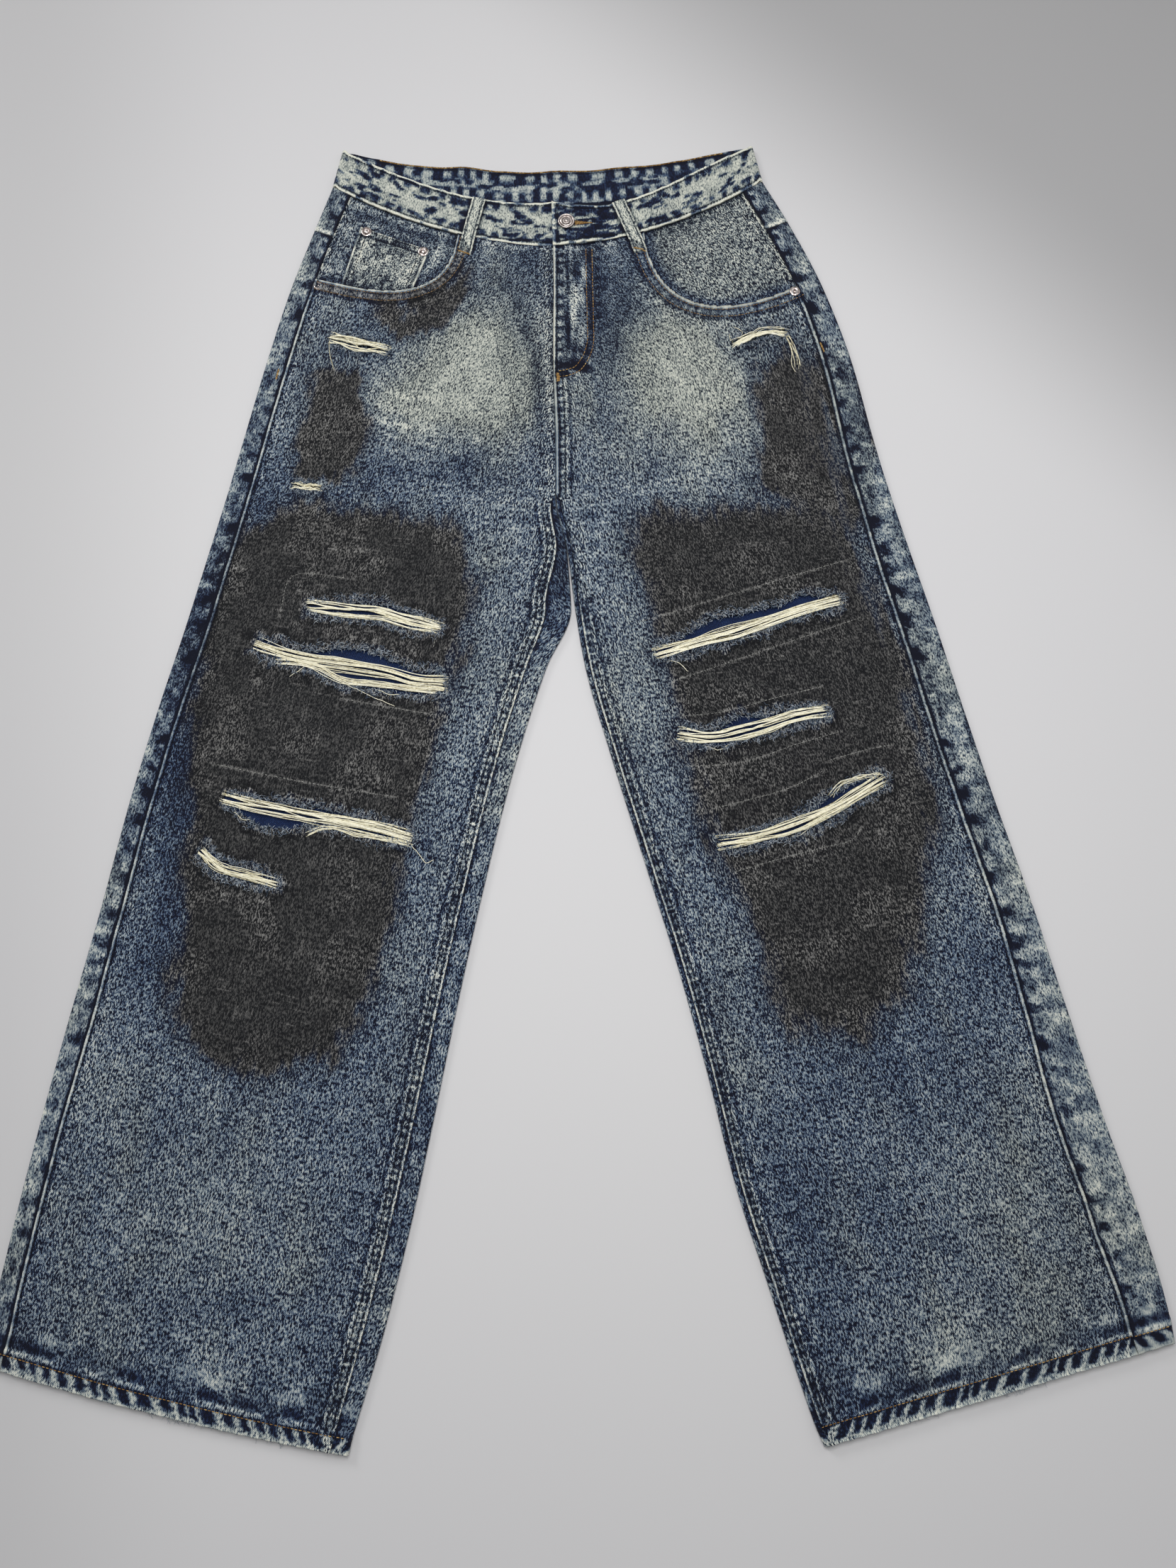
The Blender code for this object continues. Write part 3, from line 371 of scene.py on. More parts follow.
# Navy shades beside the stains and faded places: middle, size and how much paler they are
SHADES = (
    (-304.0, -180.0, 34.0, 200.0, -0.27),
    (-12.0, 215.0, 17.0, 44.0, -0.14),
    (-7.0, 115.0, 9.0, 90.0, -0.12),
    (-62.0, 212.0, 14.0, 30.0, -0.12),
    (52.0, 190.0, 9.0, 56.0, -0.16),
    (55.0, 110.0, 14.0, 60.0, -0.08),
    (-120.0, -560.0, 34.0, 90.0, -0.05),
    (-256.0, -640.0, 30.0, 15.0, -0.11),
    (-330.0, -630.0, 22.0, 14.0, -0.07),
    (170.0, -560.0, 40.0, 80.0, -0.05),
    (-255.0, 20.0, 30.0, 70.0, -0.09),
    (-100.0, 32.0, 60.0, 34.0, -0.05),
    (75.0, 190.0, 26.0, 60.0, -0.09),
    (-145.0, 165.0, 50.0, 24.0, -0.05),
    (110.0, -20.0, 60.0, 26.0, -0.05),
    (-150.0, -500.0, 60.0, 60.0, -0.05),
    (300.0, -470.0, 80.0, 70.0, -0.05),
)
FADES = (
    (-58.0, 150.0, 60.0, 66.0, 0.23),
    (-92.0, 98.0, 84.0, 42.0, 0.16),
    (114.0, 138.0, 58.0, 68.0, 0.22),
    (150.0, 70.0, 70.0, 60.0, 0.11),
    (-50.0, -130.0, 26.0, 190.0, 0.05),
    (66.0, -200.0, 26.0, 160.0, 0.07),
    (-280.0, -570.0, 60.0, 70.0, 0.05),
    (345.0, -590.0, 60.0, 80.0, 0.08),
    (300.0, -690.0, 80.0, 34.0, 0.09),
)
# Whiskers and scratches, and beside the fly a few dark lines of painted fold shade: the two ends, the width
# and how much paler the line is
STREAKS = (
    ((-187, 79), (-53, 31), 6.0, -0.08), ((-180, 92), (-60, 60), 5.0, 0.07),
    ((-150, 40), (-30, 14), 5.0, -0.07),
    ((79, 20), (140, 55), 6.0, -0.08), ((60, 10), (180, 30), 5.0, 0.06), ((90, 60), (200, 95), 6.0, -0.05),
    ((-235, -30), (-90, -60), 4.0, 0.05), ((-250, -210), (-120, -235), 5.0, 0.06),
    ((-260, -350), (-160, -380), 6.0, 0.05), ((110, -255), (270, -225), 5.0, 0.05),
    ((150, -345), (270, -320), 5.0, 0.05), ((-290, -420), (-190, -455), 6.0, -0.04),
    # Painted shade of soft folds left of the fly
    ((-30, 216), (-10, 130), 6.0, -0.12), ((-10, 130), (-3, 46), 5.0, -0.11),
    ((-44, 235), (-34, 120), 7.0, -0.06),
    ((-16, 235), (-6, 170), 5.0, 0.07), ((-150, 112), (-70, 96), 3.0, 0.12),
    ((-152, 100), (-92, 82), 3.0, 0.11),
    ((-156, 86), (-110, 72), 2.6, 0.11), ((-150, 70), (-80, 48), 3.0, 0.09),
    ((-140, 56), (-100, 46), 2.6, 0.08),
    ((78, 232), (66, 150), 7.0, -0.08), ((60, 226), (52, 160), 5.0, 0.07),
)
# Rows of stitches that hold the patches on, seen on the fronts
PATCH_ROWS = (
    ((-232, -98), (-223, -63), (-175, -65)), ((-180, -172), (-97, -190)), ((-99, -115), (-102, -131)),
    ((-283, -225), (-225, -239), (-132, -258)), ((73, -112), (250, -62)), ((97, -166), (260, -114)),
    ((103, -196), (135, -194), (182, -183), (223, -174)),
    ((107, -239), (146, -238), (202, -222), (236, -213)),
    ((123, -276), (155, -269), (192, -259), (219, -246)), ((223, -238), (254, -230), (276, -226)),
    ((140, -328), (167, -321), (188, -316), (214, -310), (240, -302), (245, -295)),
)
# Yarn bundles of each rip: the middle line of a bundle, its width in the middle and at its ends, and the
# number of yarns
BUNDLES = {
    "threads_hip_right": ((((-194, 166), (-172, 159), (-142, 151)), 12.0, 8.0, 26),),
    "threads_low_hip_right": ((((-223, 22), (-199, 19)), 7.0, 6.0, 14),),
    "threads_thigh_right": (
        (((-208, -89), (-181, -94), (-145, -98), (-121, -107), (-95, -113)), 12.0, 8.0, 30),),
    "threads_low_thigh_right": (
        (((-252, -121), (-228, -131), (-202, -138), (-168, -144), (-138, -151), (-119, -158), (-92, -161)),
         9.5, 9.0, 26),
        (((-236, -138), (-202, -143), (-180, -155), (-150, -161), (-120, -166), (-93, -169)), 6.0, 4.0, 13)),
    "threads_knee_right": (
        (((-273, -254), (-253, -260), (-207, -270), (-166, -279), (-119, -292)), 10.0, 9.0, 30),
        (((-205, -286), (-190, -281), (-160, -289), (-121, -297)), 4.0, 3.0, 7)),
    "threads_low_knee_right": ((((-290, -297), (-274, -311), (-251, -319), (-227, -326)), 9.0, 7.0, 22),),
    "threads_hip_left": (
        (((167, 148), (183, 155), (199, 159), (215, 158)), 8.0, 6.5, 20),),
    "threads_thigh_left": ((((85, -141), (130, -130), (161, -122), (191, -112), (243, -98)), 10.0, 8.0, 28),),
    "threads_low_thigh_left": (
        (((102, -212), (125, -216), (161, -210), (197, -200), (224, -196)), 11.0, 8.0, 26),),
    "threads_knee_left": (
        (((129, -304), (155, -301), (184, -294), (214, -283), (238, -271), (266, -255)), 10.0, 9.0, 28),
        (((222, -268), (228, -260), (248, -254), (264, -251)), 4.0, 3.0, 6)),
}
# Single yarns that have come loose and curl over the cloth
LOOSE_YARNS = (
    ((-191, 169), (-194, 162), (-194, 152), (-190, 134)),
    ((211, 163), (218, 155), (221, 141), (225, 131), (224, 122)),
    ((212, 161), (216, 152), (223, 138), (223, 126)),
    ((209, 162), (217, 150), (220, 136), (221, 124)),
    ((169, 166), (176, 160), (172, 153), (168, 149)), ((164, 159), (165, 153), (168, 149)),
    ((210, 160), (216, 151), (219, 138), (218, 127), (221, 119)),
    ((213, 160), (220, 150), (224, 137), (226, 125)),
    ((-264, -266), (-255, -273), (-243, -270), (-241, -262)),
    ((-120, -298), (-113, -307), (-108, -313), (-102, -311)),
    ((-216, -134), (-210, -142), (-222, -152)), ((-200, -141), (-190, -136), (-180, -130)),
    ((-180, -158), (-160, -168), (-140, -178), (-134, -181)), ((-150, -165), (-136, -171), (-125, -169)),
    ((-168, -286), (-150, -288), (-141, -291), (-139, -284)), ((95, -148), (104, -150), (111, -158)),
    ((150, -118), (158, -130), (170, -128)), ((120, -222), (134, -226), (146, -219)),
    ((180, -300), (196, -299), (205, -292)), ((-165, -96), (-158, -104), (-150, -100)),
)
DARK_YARN = ((-29, 104), (-34, 99), (-30, 92), (-33, 82), (-32, 70))
# Bartacks and the buttonhole's ends: two ends, and how wide the zigzag is
BARTACKS = (
    ((-239, 136), (-241, 126), 1.8, 1.8), ((245, 147), (248, 138), 1.8, 1.8),
    ((9.0, 124), (9.6, 116), 3.4, 3.4),
    ((-78, 251), (-68, 247), 1.6, 1.6), ((82, 249), (93, 246), 1.6, 1.6), ((29, 275), (45, 275), 5.5, 0.8),
)
# The holes' heights above and below the middle line of a rip's first bundle, at shares along it
HOLES = {
    "threads_hip_right": ((0, 3.5), (0.5, 4.5), (1, 3.0)), "threads_low_hip_right": ((0, 2.5), (1, 2.5)),
    "threads_thigh_right": ((0, 4.2), (0.45, 7.5), (0.75, 6.5), (1, 4.0)),
    "threads_low_thigh_right": ((0, 4.8), (0.3, 6.0), (0.42, 12.5), (0.56, 15.0), (0.7, 10.0), (1, 4.8)),
    "threads_knee_right": ((0, 5.0), (0.5, 6.0), (1, 4.5)),
    "threads_low_knee_right": ((0, 4.5), (0.5, 5.2), (1, 4.0)),
    "threads_hip_left": ((0, 2.5), (0.5, 4.0), (1, 2.5)),
    "threads_thigh_left": ((0, 4.2), (0.14, 7.5), (0.33, 16.0), (0.58, 12.5), (0.68, 9.0), (0.8, 13.0),
                           (1, 4.2)),
    "threads_low_thigh_left": ((0, 4.0), (0.28, 7.0), (0.42, 13.5), (0.58, 8.0), (1, 4.5)),
    "threads_knee_left": ((0, 4.2), (0.5, 6.5), (0.7, 9.5), (0.86, 9.0), (1, 4.8)),
}
HOLES_BELOW = {
    "threads_hip_right": ((0, 3.0), (0.5, 5.0), (1, 3.5)), "threads_low_hip_right": ((0, 2.5), (1, 2.5)),
    "threads_thigh_right": ((0, 4.2), (0.5, 6.5), (1, 4.2)),
    "threads_low_thigh_right": ((0, 5.0), (0.3, 7.5), (0.45, 15.0), (0.62, 18.0), (0.8, 14.0), (1, 8.0)),
    "threads_knee_right": ((0, 5.4), (0.1, 8.0), (0.22, 15.5), (0.36, 14.0), (0.46, 7.0), (1, 4.5)),
    "threads_low_knee_right": ((0, 4.2), (0.5, 5.2), (1, 4.0)),
    "threads_hip_left": ((0, 3.0), (0.5, 5.0), (1, 3.0)),
    "threads_thigh_left": ((0, 4.5), (0.5, 5.8), (1, 4.2)),
    "threads_low_thigh_left": ((0, 4.0), (0.3, 7.0), (1, 4.4)),
    "threads_knee_left": ((0, 4.8), (0.5, 6.5), (1, 4.8)),
}


def beats(run, pitch, seed):
    """A wave from -1 to 1 along a seam, whose beats come at uneven intervals of about pitch mm."""
    return np.sin((run + 0.45 * pitch * mottle(run, run * 0, 2.4 * pitch, seed)) * 2 * math.pi / pitch)


def ladder(cloth, away, along, start, end, share, seed, pitch):
    """A felled seam: across the band between two distances from its edge, short pale bars of wear on the
    puckers and dark bars of painted shade between them.
    """
    bars = 0.7 * beats(along, pitch, seed) + 0.5 * mottle(along, away * 0.3, pitch, seed + 1)
    band = ease(away, start - 0.6, start + 0.6) * (1 - ease(away, end - 0.8, end + 0.8)) * share
    cloth.wash += band * (0.34 * bars + 0.05)
    cloth.grey += (0.4 - cloth.grey) * band
    cloth.speck -= 0.06 * band
    cloth.smudge = cloth.smudge * (1 - 0.7 * band)
    cloth.lift(band * (0.35 + 0.25 * bars))
    cloth.wash += share * (0.55 * line_of(away, start - 1.3, 1.2) + 0.16 * line_of(away, end + 1.4, 1.6)
                           - 0.34 * line_of(away, end + 4.0, 1.6) - 0.36 * line_of(away, start + 0.9, 1.0)
                           - 0.26 * line_of(away, end - 0.8, 1.0))
    cloth.calm(line_of(away, start - 1.3, 2.0) * share)


def creases(cloth):
    """Small uneven waves of the laid cloth, longer across the leg than down it."""
    x, y = cloth.x, cloth.y
    wave = 0.55 * mottle(x * 0.5, y, 26, 60) + 0.35 * mottle(x * 0.55, y, 12, 66)
    wave = wave + 0.3 * mottle(x, y * 0.45, 18, 67)
    return 0.45 + wave * 0.8


def painted_loop_shadows(cloth):
    """Painted shadow on the cloth: a dark line along both sides of a belt loop, just beyond its edge."""
    for ends in BELT_LOOPS.values():
        away, _, along = beside_line(cloth.x, cloth.y, np.array(ends, dtype=float))
        length = math.dist(*ends)
        cloth.wash -= 0.45 * line_of(away, LOOP_WIDTH / 2 + 0.6, 1.6) * (along > 0.5) * (along < length - 0.5)


def band_wash(cloth, kind, tall, total):
    """The waistband's wear: pale with navy pools on the front, and rows of pale ticks inside its back, fewer
    towards its ends as painted shade.

    The pools stand in rows along both edges and run along the band between them. The overlapping end, as far
    as the belt loop, has far more of them.
    """
    u, v = cloth.u, cloth.v
    from_top = tall - v
    from_edge = np.minimum(v, from_top)
    slide = 5.0 * mottle(u, v, 9, 58)
    cloudy = 0.9 * mottle(u + slide, v * 2.8, 12, 51) + 0.8 * mottle(u + slide, v * 2.2, 5.5, 52)
    cloudy = cloudy + 0.35 * mottle(u + slide, v * 1.4, 2.6, 53)
    lower_row = v < tall / 2
    spot = np.where(lower_row, beats(u, 13.0, 57), beats(u, 15.0, 90)) * 0.6 + 0.6 * mottle(u, v, 4.5, 59)
    overlap = 1 - ease(total - u, 50.0, 62.0)
    need = 0.3 + 0.25 * mottle(u, u * 0, 40, 71) - 0.62 * overlap * (kind == 0)
    pool = np.maximum(0.9 * ease(spot, need - 0.35, need + 0.35) * line_of(from_edge, 6.4, 3.6),
                      ease(cloudy, need - 0.15, need + 0.6))
    outside = 0.69 + 0.09 * mottle(u + slide, v * 1.5, 8, 91) + 0.07 * mottle(u, v, 2.6, 93) - 0.66 * pool
    tick = beats(u, 16.0, 54) + 0.4 * mottle(u, v, 3.5, 55)
    tick_low = beats(u, 13.0, 56) + 0.4 * mottle(u, v, 3.5, 55)
    long_one = mottle(u + slide, v * 2.6, 13, 85) + 0.6 * mottle(u, v * 1.8, 5, 86)
    high, low = line_of(from_top, 7.0, 5.5), line_of(from_top, 27.0, 5.0)
    middle = np.clip(1 - high - low, 0, 1)
    # Painted shade: towards both ends the back's inside has fewer pale ticks
    end_shade = 0.3 * ease(np.abs(u - total / 2), 95.0, 165.0)
    pale = (high * ease(tick, end_shade - 0.15, end_shade + 0.15)
            + low * ease(tick_low, end_shade - 0.1, end_shade + 0.2)
            + middle * ease(long_one, end_shade - 0.2, end_shade + 0.3))
    inner = 0.04 + (0.6 + 0.1 * mottle(u, v, 5, 91)) * np.clip(pale, 0, 1)
    back = kind >= 0.9
    cloth.wash[:] = np.where(back, inner, outside)
    cloth.grey[:] = np.where(back, 0.5, 0.95) * ease(cloth.wash, 0.25, 0.5)
    cloth.speck[:] = np.where(back, 0.045, 0.05)
    rim = np.where(back, -0.2, 0.45) * line_of(from_edge, 0.4, 1.5) - 0.36 * line_of(from_edge, 3.2, 1.1)
    cloth.wash += rim
    relief = 0.4 * np.exp(-(from_edge / 9) ** 2) * spot + 0.4 * np.clip(cloudy, -1, 1)
    cloth.lift(np.where(kind == 0.5, 0.2, 1.0) * relief * np.where(back, 0.5, 1.0))
    to_end = total - u
    cloth.wash += 0.45 * line_of(to_end, 0.8, 1.9) - 0.34 * line_of(to_end, 4.6, 1.3)
    painted_loop_shadows(cloth)


def placed(points):
    """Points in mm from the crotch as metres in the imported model's frame."""
    moved = np.array(points, dtype=float)
    moved[..., :2] -= ORIGIN
    return moved * MM


def mottle(u, v, size, seed):
    """A smooth random field from -1 to 1 whose patches are about size mm across."""
    table = np.random.default_rng(seed).uniform(-1, 1, FIELD)
    a, b = np.asarray(u) / size, np.asarray(v) / size
    i, j = np.floor(a).astype(int), np.floor(b).astype(int)
    s, t = a - i, b - j
    s, t = s * s * (3 - 2 * s), t * t * (3 - 2 * t)
    corner = [[table[(i + p) % FIELD[0], (j + q) % FIELD[1]] for q in (0, 1)] for p in (0, 1)]
    near, far = (corner[0][q] * (1 - s) + corner[1][q] * s for q in (0, 1))
    return near * (1 - t) + far * t


def smooth_line(points, step):
    """A smooth curve through a few points, sampled every step mm."""
    knots = np.array(points, dtype=float)
    run = run_along(knots)
    tangent = np.gradient(knots, run, axis=0) if len(knots) > 2 else np.diff(knots, axis=0)[[0, 0]] / run[-1]
    at = np.linspace(0, run[-1], max(int(run[-1] / step) + 1, 3))
    k = np.clip(np.searchsorted(run, at, side="right") - 1, 0, len(run) - 2)
    h = (run[k + 1] - run[k])[:, None]
    t = ((at - run[k]) / h[:, 0])[:, None]
    return (knots[k] * (1 + 2 * t) * (1 - t) ** 2 + knots[k + 1] * t * t * (3 - 2 * t)
            + h * (tangent[k] * t * (1 - t) ** 2 - tangent[k + 1] * t * t * (1 - t)))


def beside_line(x, y, line):
    """For every point: its distance from a line, which side it is on and how far along it lies."""
    start, step = line[:-1], np.diff(line, axis=0)
    length = np.hypot(step[:, 0], step[:, 1])
    run = np.concatenate([[0], np.cumsum(length)])
    dx, dy = np.ravel(x)[:, None] - start[:, 0], np.ravel(y)[:, None] - start[:, 1]
    t = np.clip((dx * step[:, 0] + dy * step[:, 1]) / length ** 2, 0, 1)
    away = np.hypot(dx - t * step[:, 0], dy - t * step[:, 1])
    k = away.argmin(1)
    row = np.arange(len(k))
    side = np.sign(step[k, 0] * dy[row, k] - step[k, 1] * dx[row, k])
    shape = np.shape(x)
    return away[row, k].reshape(shape), side.reshape(shape), (run[k] + t[row, k] * length[k]).reshape(shape)


def inside(x, y, outline):
    """Which points lie inside a closed outline, by counting crossings."""
    x1, y1 = outline[:, 0], outline[:, 1]
    x2, y2 = np.roll(x1, -1), np.roll(y1, -1)
    px, py = np.ravel(x)[:, None], np.ravel(y)[:, None]
    with np.errstate(divide="ignore", invalid="ignore"):
        crossing = ((y1 > py) != (y2 > py)) & (px < (x2 - x1) * (py - y1) / (y2 - y1) + x1)
    return (crossing.sum(1) % 2 == 1).reshape(np.shape(x))


def inside_depth(x, y, outline, reach):
    """Signed distance into a closed outline, positive inside, worked out only near it."""
    depth = np.full(np.shape(x), -reach)
    near = ((x > outline[:, 0].min() - reach) & (x < outline[:, 0].max() + reach)
            & (y > outline[:, 1].min() - reach) & (y < outline[:, 1].max() + reach))
    px, py = x[near], y[near]
    if len(px):
        away = beside_line(px, py, np.concatenate([outline, outline[:1]]))[0]
        depth[near] = np.where(inside(px, py, outline), away, -away)
    return depth


class Cloth:
    """A grid of points in mm with its wash values, from which a surface is made."""

    def __init__(self, grid, u, v):
        self.grid, self.u, self.v = grid, u, v
        shape = grid.shape[:2]
        self.wash, self.speck = np.full(shape, PLAIN_WASH), np.full(shape, PLAIN_SPECK)
        self.grey, self.smudge = np.zeros(shape), np.zeros(shape)
        self.keep = np.ones((shape[0] - 1, shape[1] - 1), bool)

    @property
    def x(self):
        return self.grid[..., 0]

    @property
    def y(self):
        return self.grid[..., 1]

    def lift(self, height):
        """Move the cloth up by a height in mm."""
        self.grid[..., 2] += height

    def calm(self, share):
        """Take the speckle and the stain away by a share, as along a ridge that wear has bared."""
        self.speck *= 1 - 0.85 * share
        self.smudge *= 1 - 0.8 * share

    def cut(self, outline):
        """Take the cells inside an outline away, and pull the edge that is left onto it."""
        depth = inside_depth(self.x, self.y, outline, 8.0)
        middle = (depth[:-1, :-1] + depth[1:, :-1] + depth[:-1, 1:] + depth[1:, 1:]) / 4
        self.keep &= middle < 0
        used = np.zeros(depth.shape, bool)
        for down in (slice(None, -1), slice(1, None)):
            for over in (slice(None, -1), slice(1, None)):
                used[down, over] |= self.keep
        stray = used & (depth > 0)
        ring = np.concatenate([outline, outline[:1]])
        start, step = ring[:-1], np.diff(ring, axis=0)
        px = self.grid[stray][:, None, :2] - start
        t = np.clip((px * step).sum(-1) / (step ** 2).sum(-1), 0, 1)
        foot = start + t[..., None] * step
        nearest = np.linalg.norm(self.grid[stray][:, None, :2] - foot, axis=-1).argmin(1)
        self.grid[stray, :2] = foot[np.arange(len(nearest)), nearest]

    def mesh(self, name, thickness, closed=False):
        """The surface: the outside of the cloth with its cut edge, and its inside too where it is closed."""
        self.grid[..., 2] = np.maximum(self.grid[..., 2], thickness[..., 0] / 2)
        down, over = np.gradient(self.grid, axis=0), np.gradient(self.grid, axis=1)
        normal = np.cross(down, over)
        normal /= np.maximum(np.linalg.norm(normal, axis=-1, keepdims=True), 1e-9)
        half = thickness / 2
        rows, columns = self.grid.shape[:2]
        number = np.arange(rows * columns).reshape(rows, columns)
        cells = np.stack([number[:-1, :-1], number[:-1, 1:], number[1:, 1:], number[1:, :-1]], -1)[self.keep]
        edges = np.stack([cells, np.roll(cells, -1, axis=1)], -1).reshape(-1, 2)
        code = edges[:, 0] * (rows * columns) + edges[:, 1]
        back = edges[:, 1] * (rows * columns) + edges[:, 0]
        border = edges[~np.isin(code, back)]
        shift = rows * columns
        rim = np.column_stack([border[:, 1], border[:, 0], border[:, 0] + shift, border[:, 1] + shift])
        faces = np.concatenate([cells, rim] + ([cells[:, ::-1] + shift] if closed else []))
        points = np.concatenate([self.grid + normal * half, self.grid - normal * half]).reshape(-1, 3)
        used, faces = np.unique(faces, return_inverse=True)
        values = {key: np.concatenate([getattr(self, key).ravel()] * 2)[used]
                  for key in ("wash", "speck", "grey", "smudge")}
        uv = np.concatenate([np.stack([self.u, self.v], -1).reshape(-1, 2)] * 2)[used] * MM
        return surface(name, placed(points[used]), faces.reshape(-1, 4), values, uv)


def surface(name, points, faces, values=None, uv=None):
    """A mesh object of quads from arrays, with its values as attributes and its cloth coordinates."""
    mesh = bpy.data.meshes.new(name)
    faces = np.asarray(faces)
    mesh.vertices.add(len(points))
    mesh.vertices.foreach_set("co", np.ravel(points))
    mesh.loops.add(faces.size)
    mesh.loops.foreach_set("vertex_index", faces.ravel())
    mesh.polygons.add(len(faces))
    mesh.polygons.foreach_set("loop_start", np.arange(0, faces.size, faces.shape[1]))
    mesh.polygons.foreach_set("use_smooth", np.ones(len(faces), bool))
    mesh.update(calc_edges=True)
    for key, value in (values or {}).items():
        layer = mesh.attributes.new(key, "FLOAT", "POINT")
        layer.data.foreach_set("value", np.asarray(value, dtype=np.float32))
    if uv is not None:
        layer = mesh.attributes.new("cloth", "FLOAT_VECTOR", "POINT")
        layer.data.foreach_set("vector", np.column_stack([uv, np.zeros(len(uv))]).astype(np.float32).ravel())
    mesh.validate()
    thing = bpy.data.objects.new(name, mesh)
    bpy.context.scene.collection.objects.link(thing)
    return thing


def tubes(name, paths, radius, sides, taper, shades):
    """Round yarns along many paths of one length, shaped (paths, points, 3), as one mesh.

    Each ring lies across the path: centre + radius * (cos a * side + sin a * up). Only yarns of six sides
    have closed ends. Each path has its own shade.
    """
    paths = np.asarray(paths, dtype=float)
    count, steps = paths.shape[:2]
    direction = np.gradient(paths, axis=1)
    direction /= np.maximum(np.linalg.norm(direction, axis=-1, keepdims=True), 1e-9)
    side = np.cross(direction, [0.0, 0.0, 1.0])
    side /= np.maximum(np.linalg.norm(side, axis=-1, keepdims=True), 1e-6)
    up = np.cross(side, direction)
    angle = np.arange(sides) * 2 * math.pi / sides
    t = np.linspace(-1, 1, steps)
    girth = np.broadcast_to(radius, (count,))[:, None] * (1 - taper * np.abs(t) ** 6)[None, :]
    ring = (side[:, :, None] * np.cos(angle)[:, None] + up[:, :, None] * np.sin(angle)[:, None])
    points = paths[:, :, None] + ring * girth[:, :, None, None]
    number = np.arange(count * steps * sides).reshape(count, steps, sides)
    wrap = np.roll(number, -1, axis=2)
    walls = np.stack([number[:, :-1], wrap[:, :-1], wrap[:, 1:], number[:, 1:]], -1).reshape(-1, 4)
    if sides == 6:
        caps = [number[:, 0][:, [3, 2, 1, 0]], number[:, 0][:, [0, 5, 4, 3]],
                number[:, -1][:, [0, 1, 2, 3]], number[:, -1][:, [3, 4, 5, 0]]]
        walls = np.concatenate([walls] + caps)
    values = {"shade": np.repeat(np.asarray(shades), steps * sides)}
    return surface(name, placed(points.reshape(-1, 3)), walls, values)


# The grids: the distance between rows, the fine distance near a seam, the places beside an edge, how far
# creases may sink below the solid's top, the columns of fronts and facings, the fine width at a front's
# outseam and inner edge, the points of a half circle and across a flat strip, and a height above everything
GRAIN = 1.9
FINE = 1.5
EDGE = np.array([0.0, 0.8, 1.7, 2.8, 4.2, 6.0])
LEAST_DIP = 0.2
FRONT_COLUMNS = 82
FACING_COLUMNS = 74
FRONT_NEAR = {"right": (12.0, 16.0), "left": (12.0, 44.0)}
TURN_POINTS = 9
FLAT_POINTS = 12
ABOVE_ALL = 60.0


def spread(start, end, count, near=(0.0, 0.0)):
    """Distances from start to end: close beside both ends, fine up to the near distances, then even."""
    heads = [np.concatenate([EDGE, np.arange(EDGE[-1] + FINE, reach, FINE)]) for reach in near]
    share = np.linspace(0, 1, count)
    low, high = start + heads[0][-1], end - heads[1][-1]
    even = low + (high - low) * share
    return np.concatenate([start + heads[0][:-1], even, end - heads[1][-2::-1]], axis=-1)


def even_rows(side, first, last, step=GRAIN, near=(0.0, 0.0)):
    """Row numbers evenly spaced down a leg between two stations, and how far down each one lies in mm."""
    fine = np.linspace(first, last, 3000)
    row = leg_rows(side, fine)
    over, along = (np.diff(row["outer_" + key] + row["inner_" + key]) / 2 for key in "xy")
    run = np.concatenate([[0], np.cumsum(np.hypot(over, along))])
    down = spread(0.0, run[-1], max(int((run[-1] - sum(near)) / step), 4), near)
    return np.interp(down, run, fine), down


def row_table(side, rows):
    """The station table at the rows, as columns that broadcast over distances."""
    return {key: value[:, None] for key, value in leg_rows(side, rows).items()}


def pucker(cloth, away, along, reach, pitch, height, shade, seed):
    """Puckers beside a seam: ridges across it, worn pale where they stand up, fading with the distance."""
    wave = mottle(along, away * 0.3, pitch / 2, seed)
    fade = np.exp(-(away / reach) ** 2)
    cloth.lift(height * fade * wave)
    cloth.wash += shade * fade * wave
    cloth.speck += 0.04 * fade


def line_of(away, place, width):
    """1 along a line that lies a distance from a seam, falling off over its width."""
    return np.exp(-((away - place) / width) ** 2)


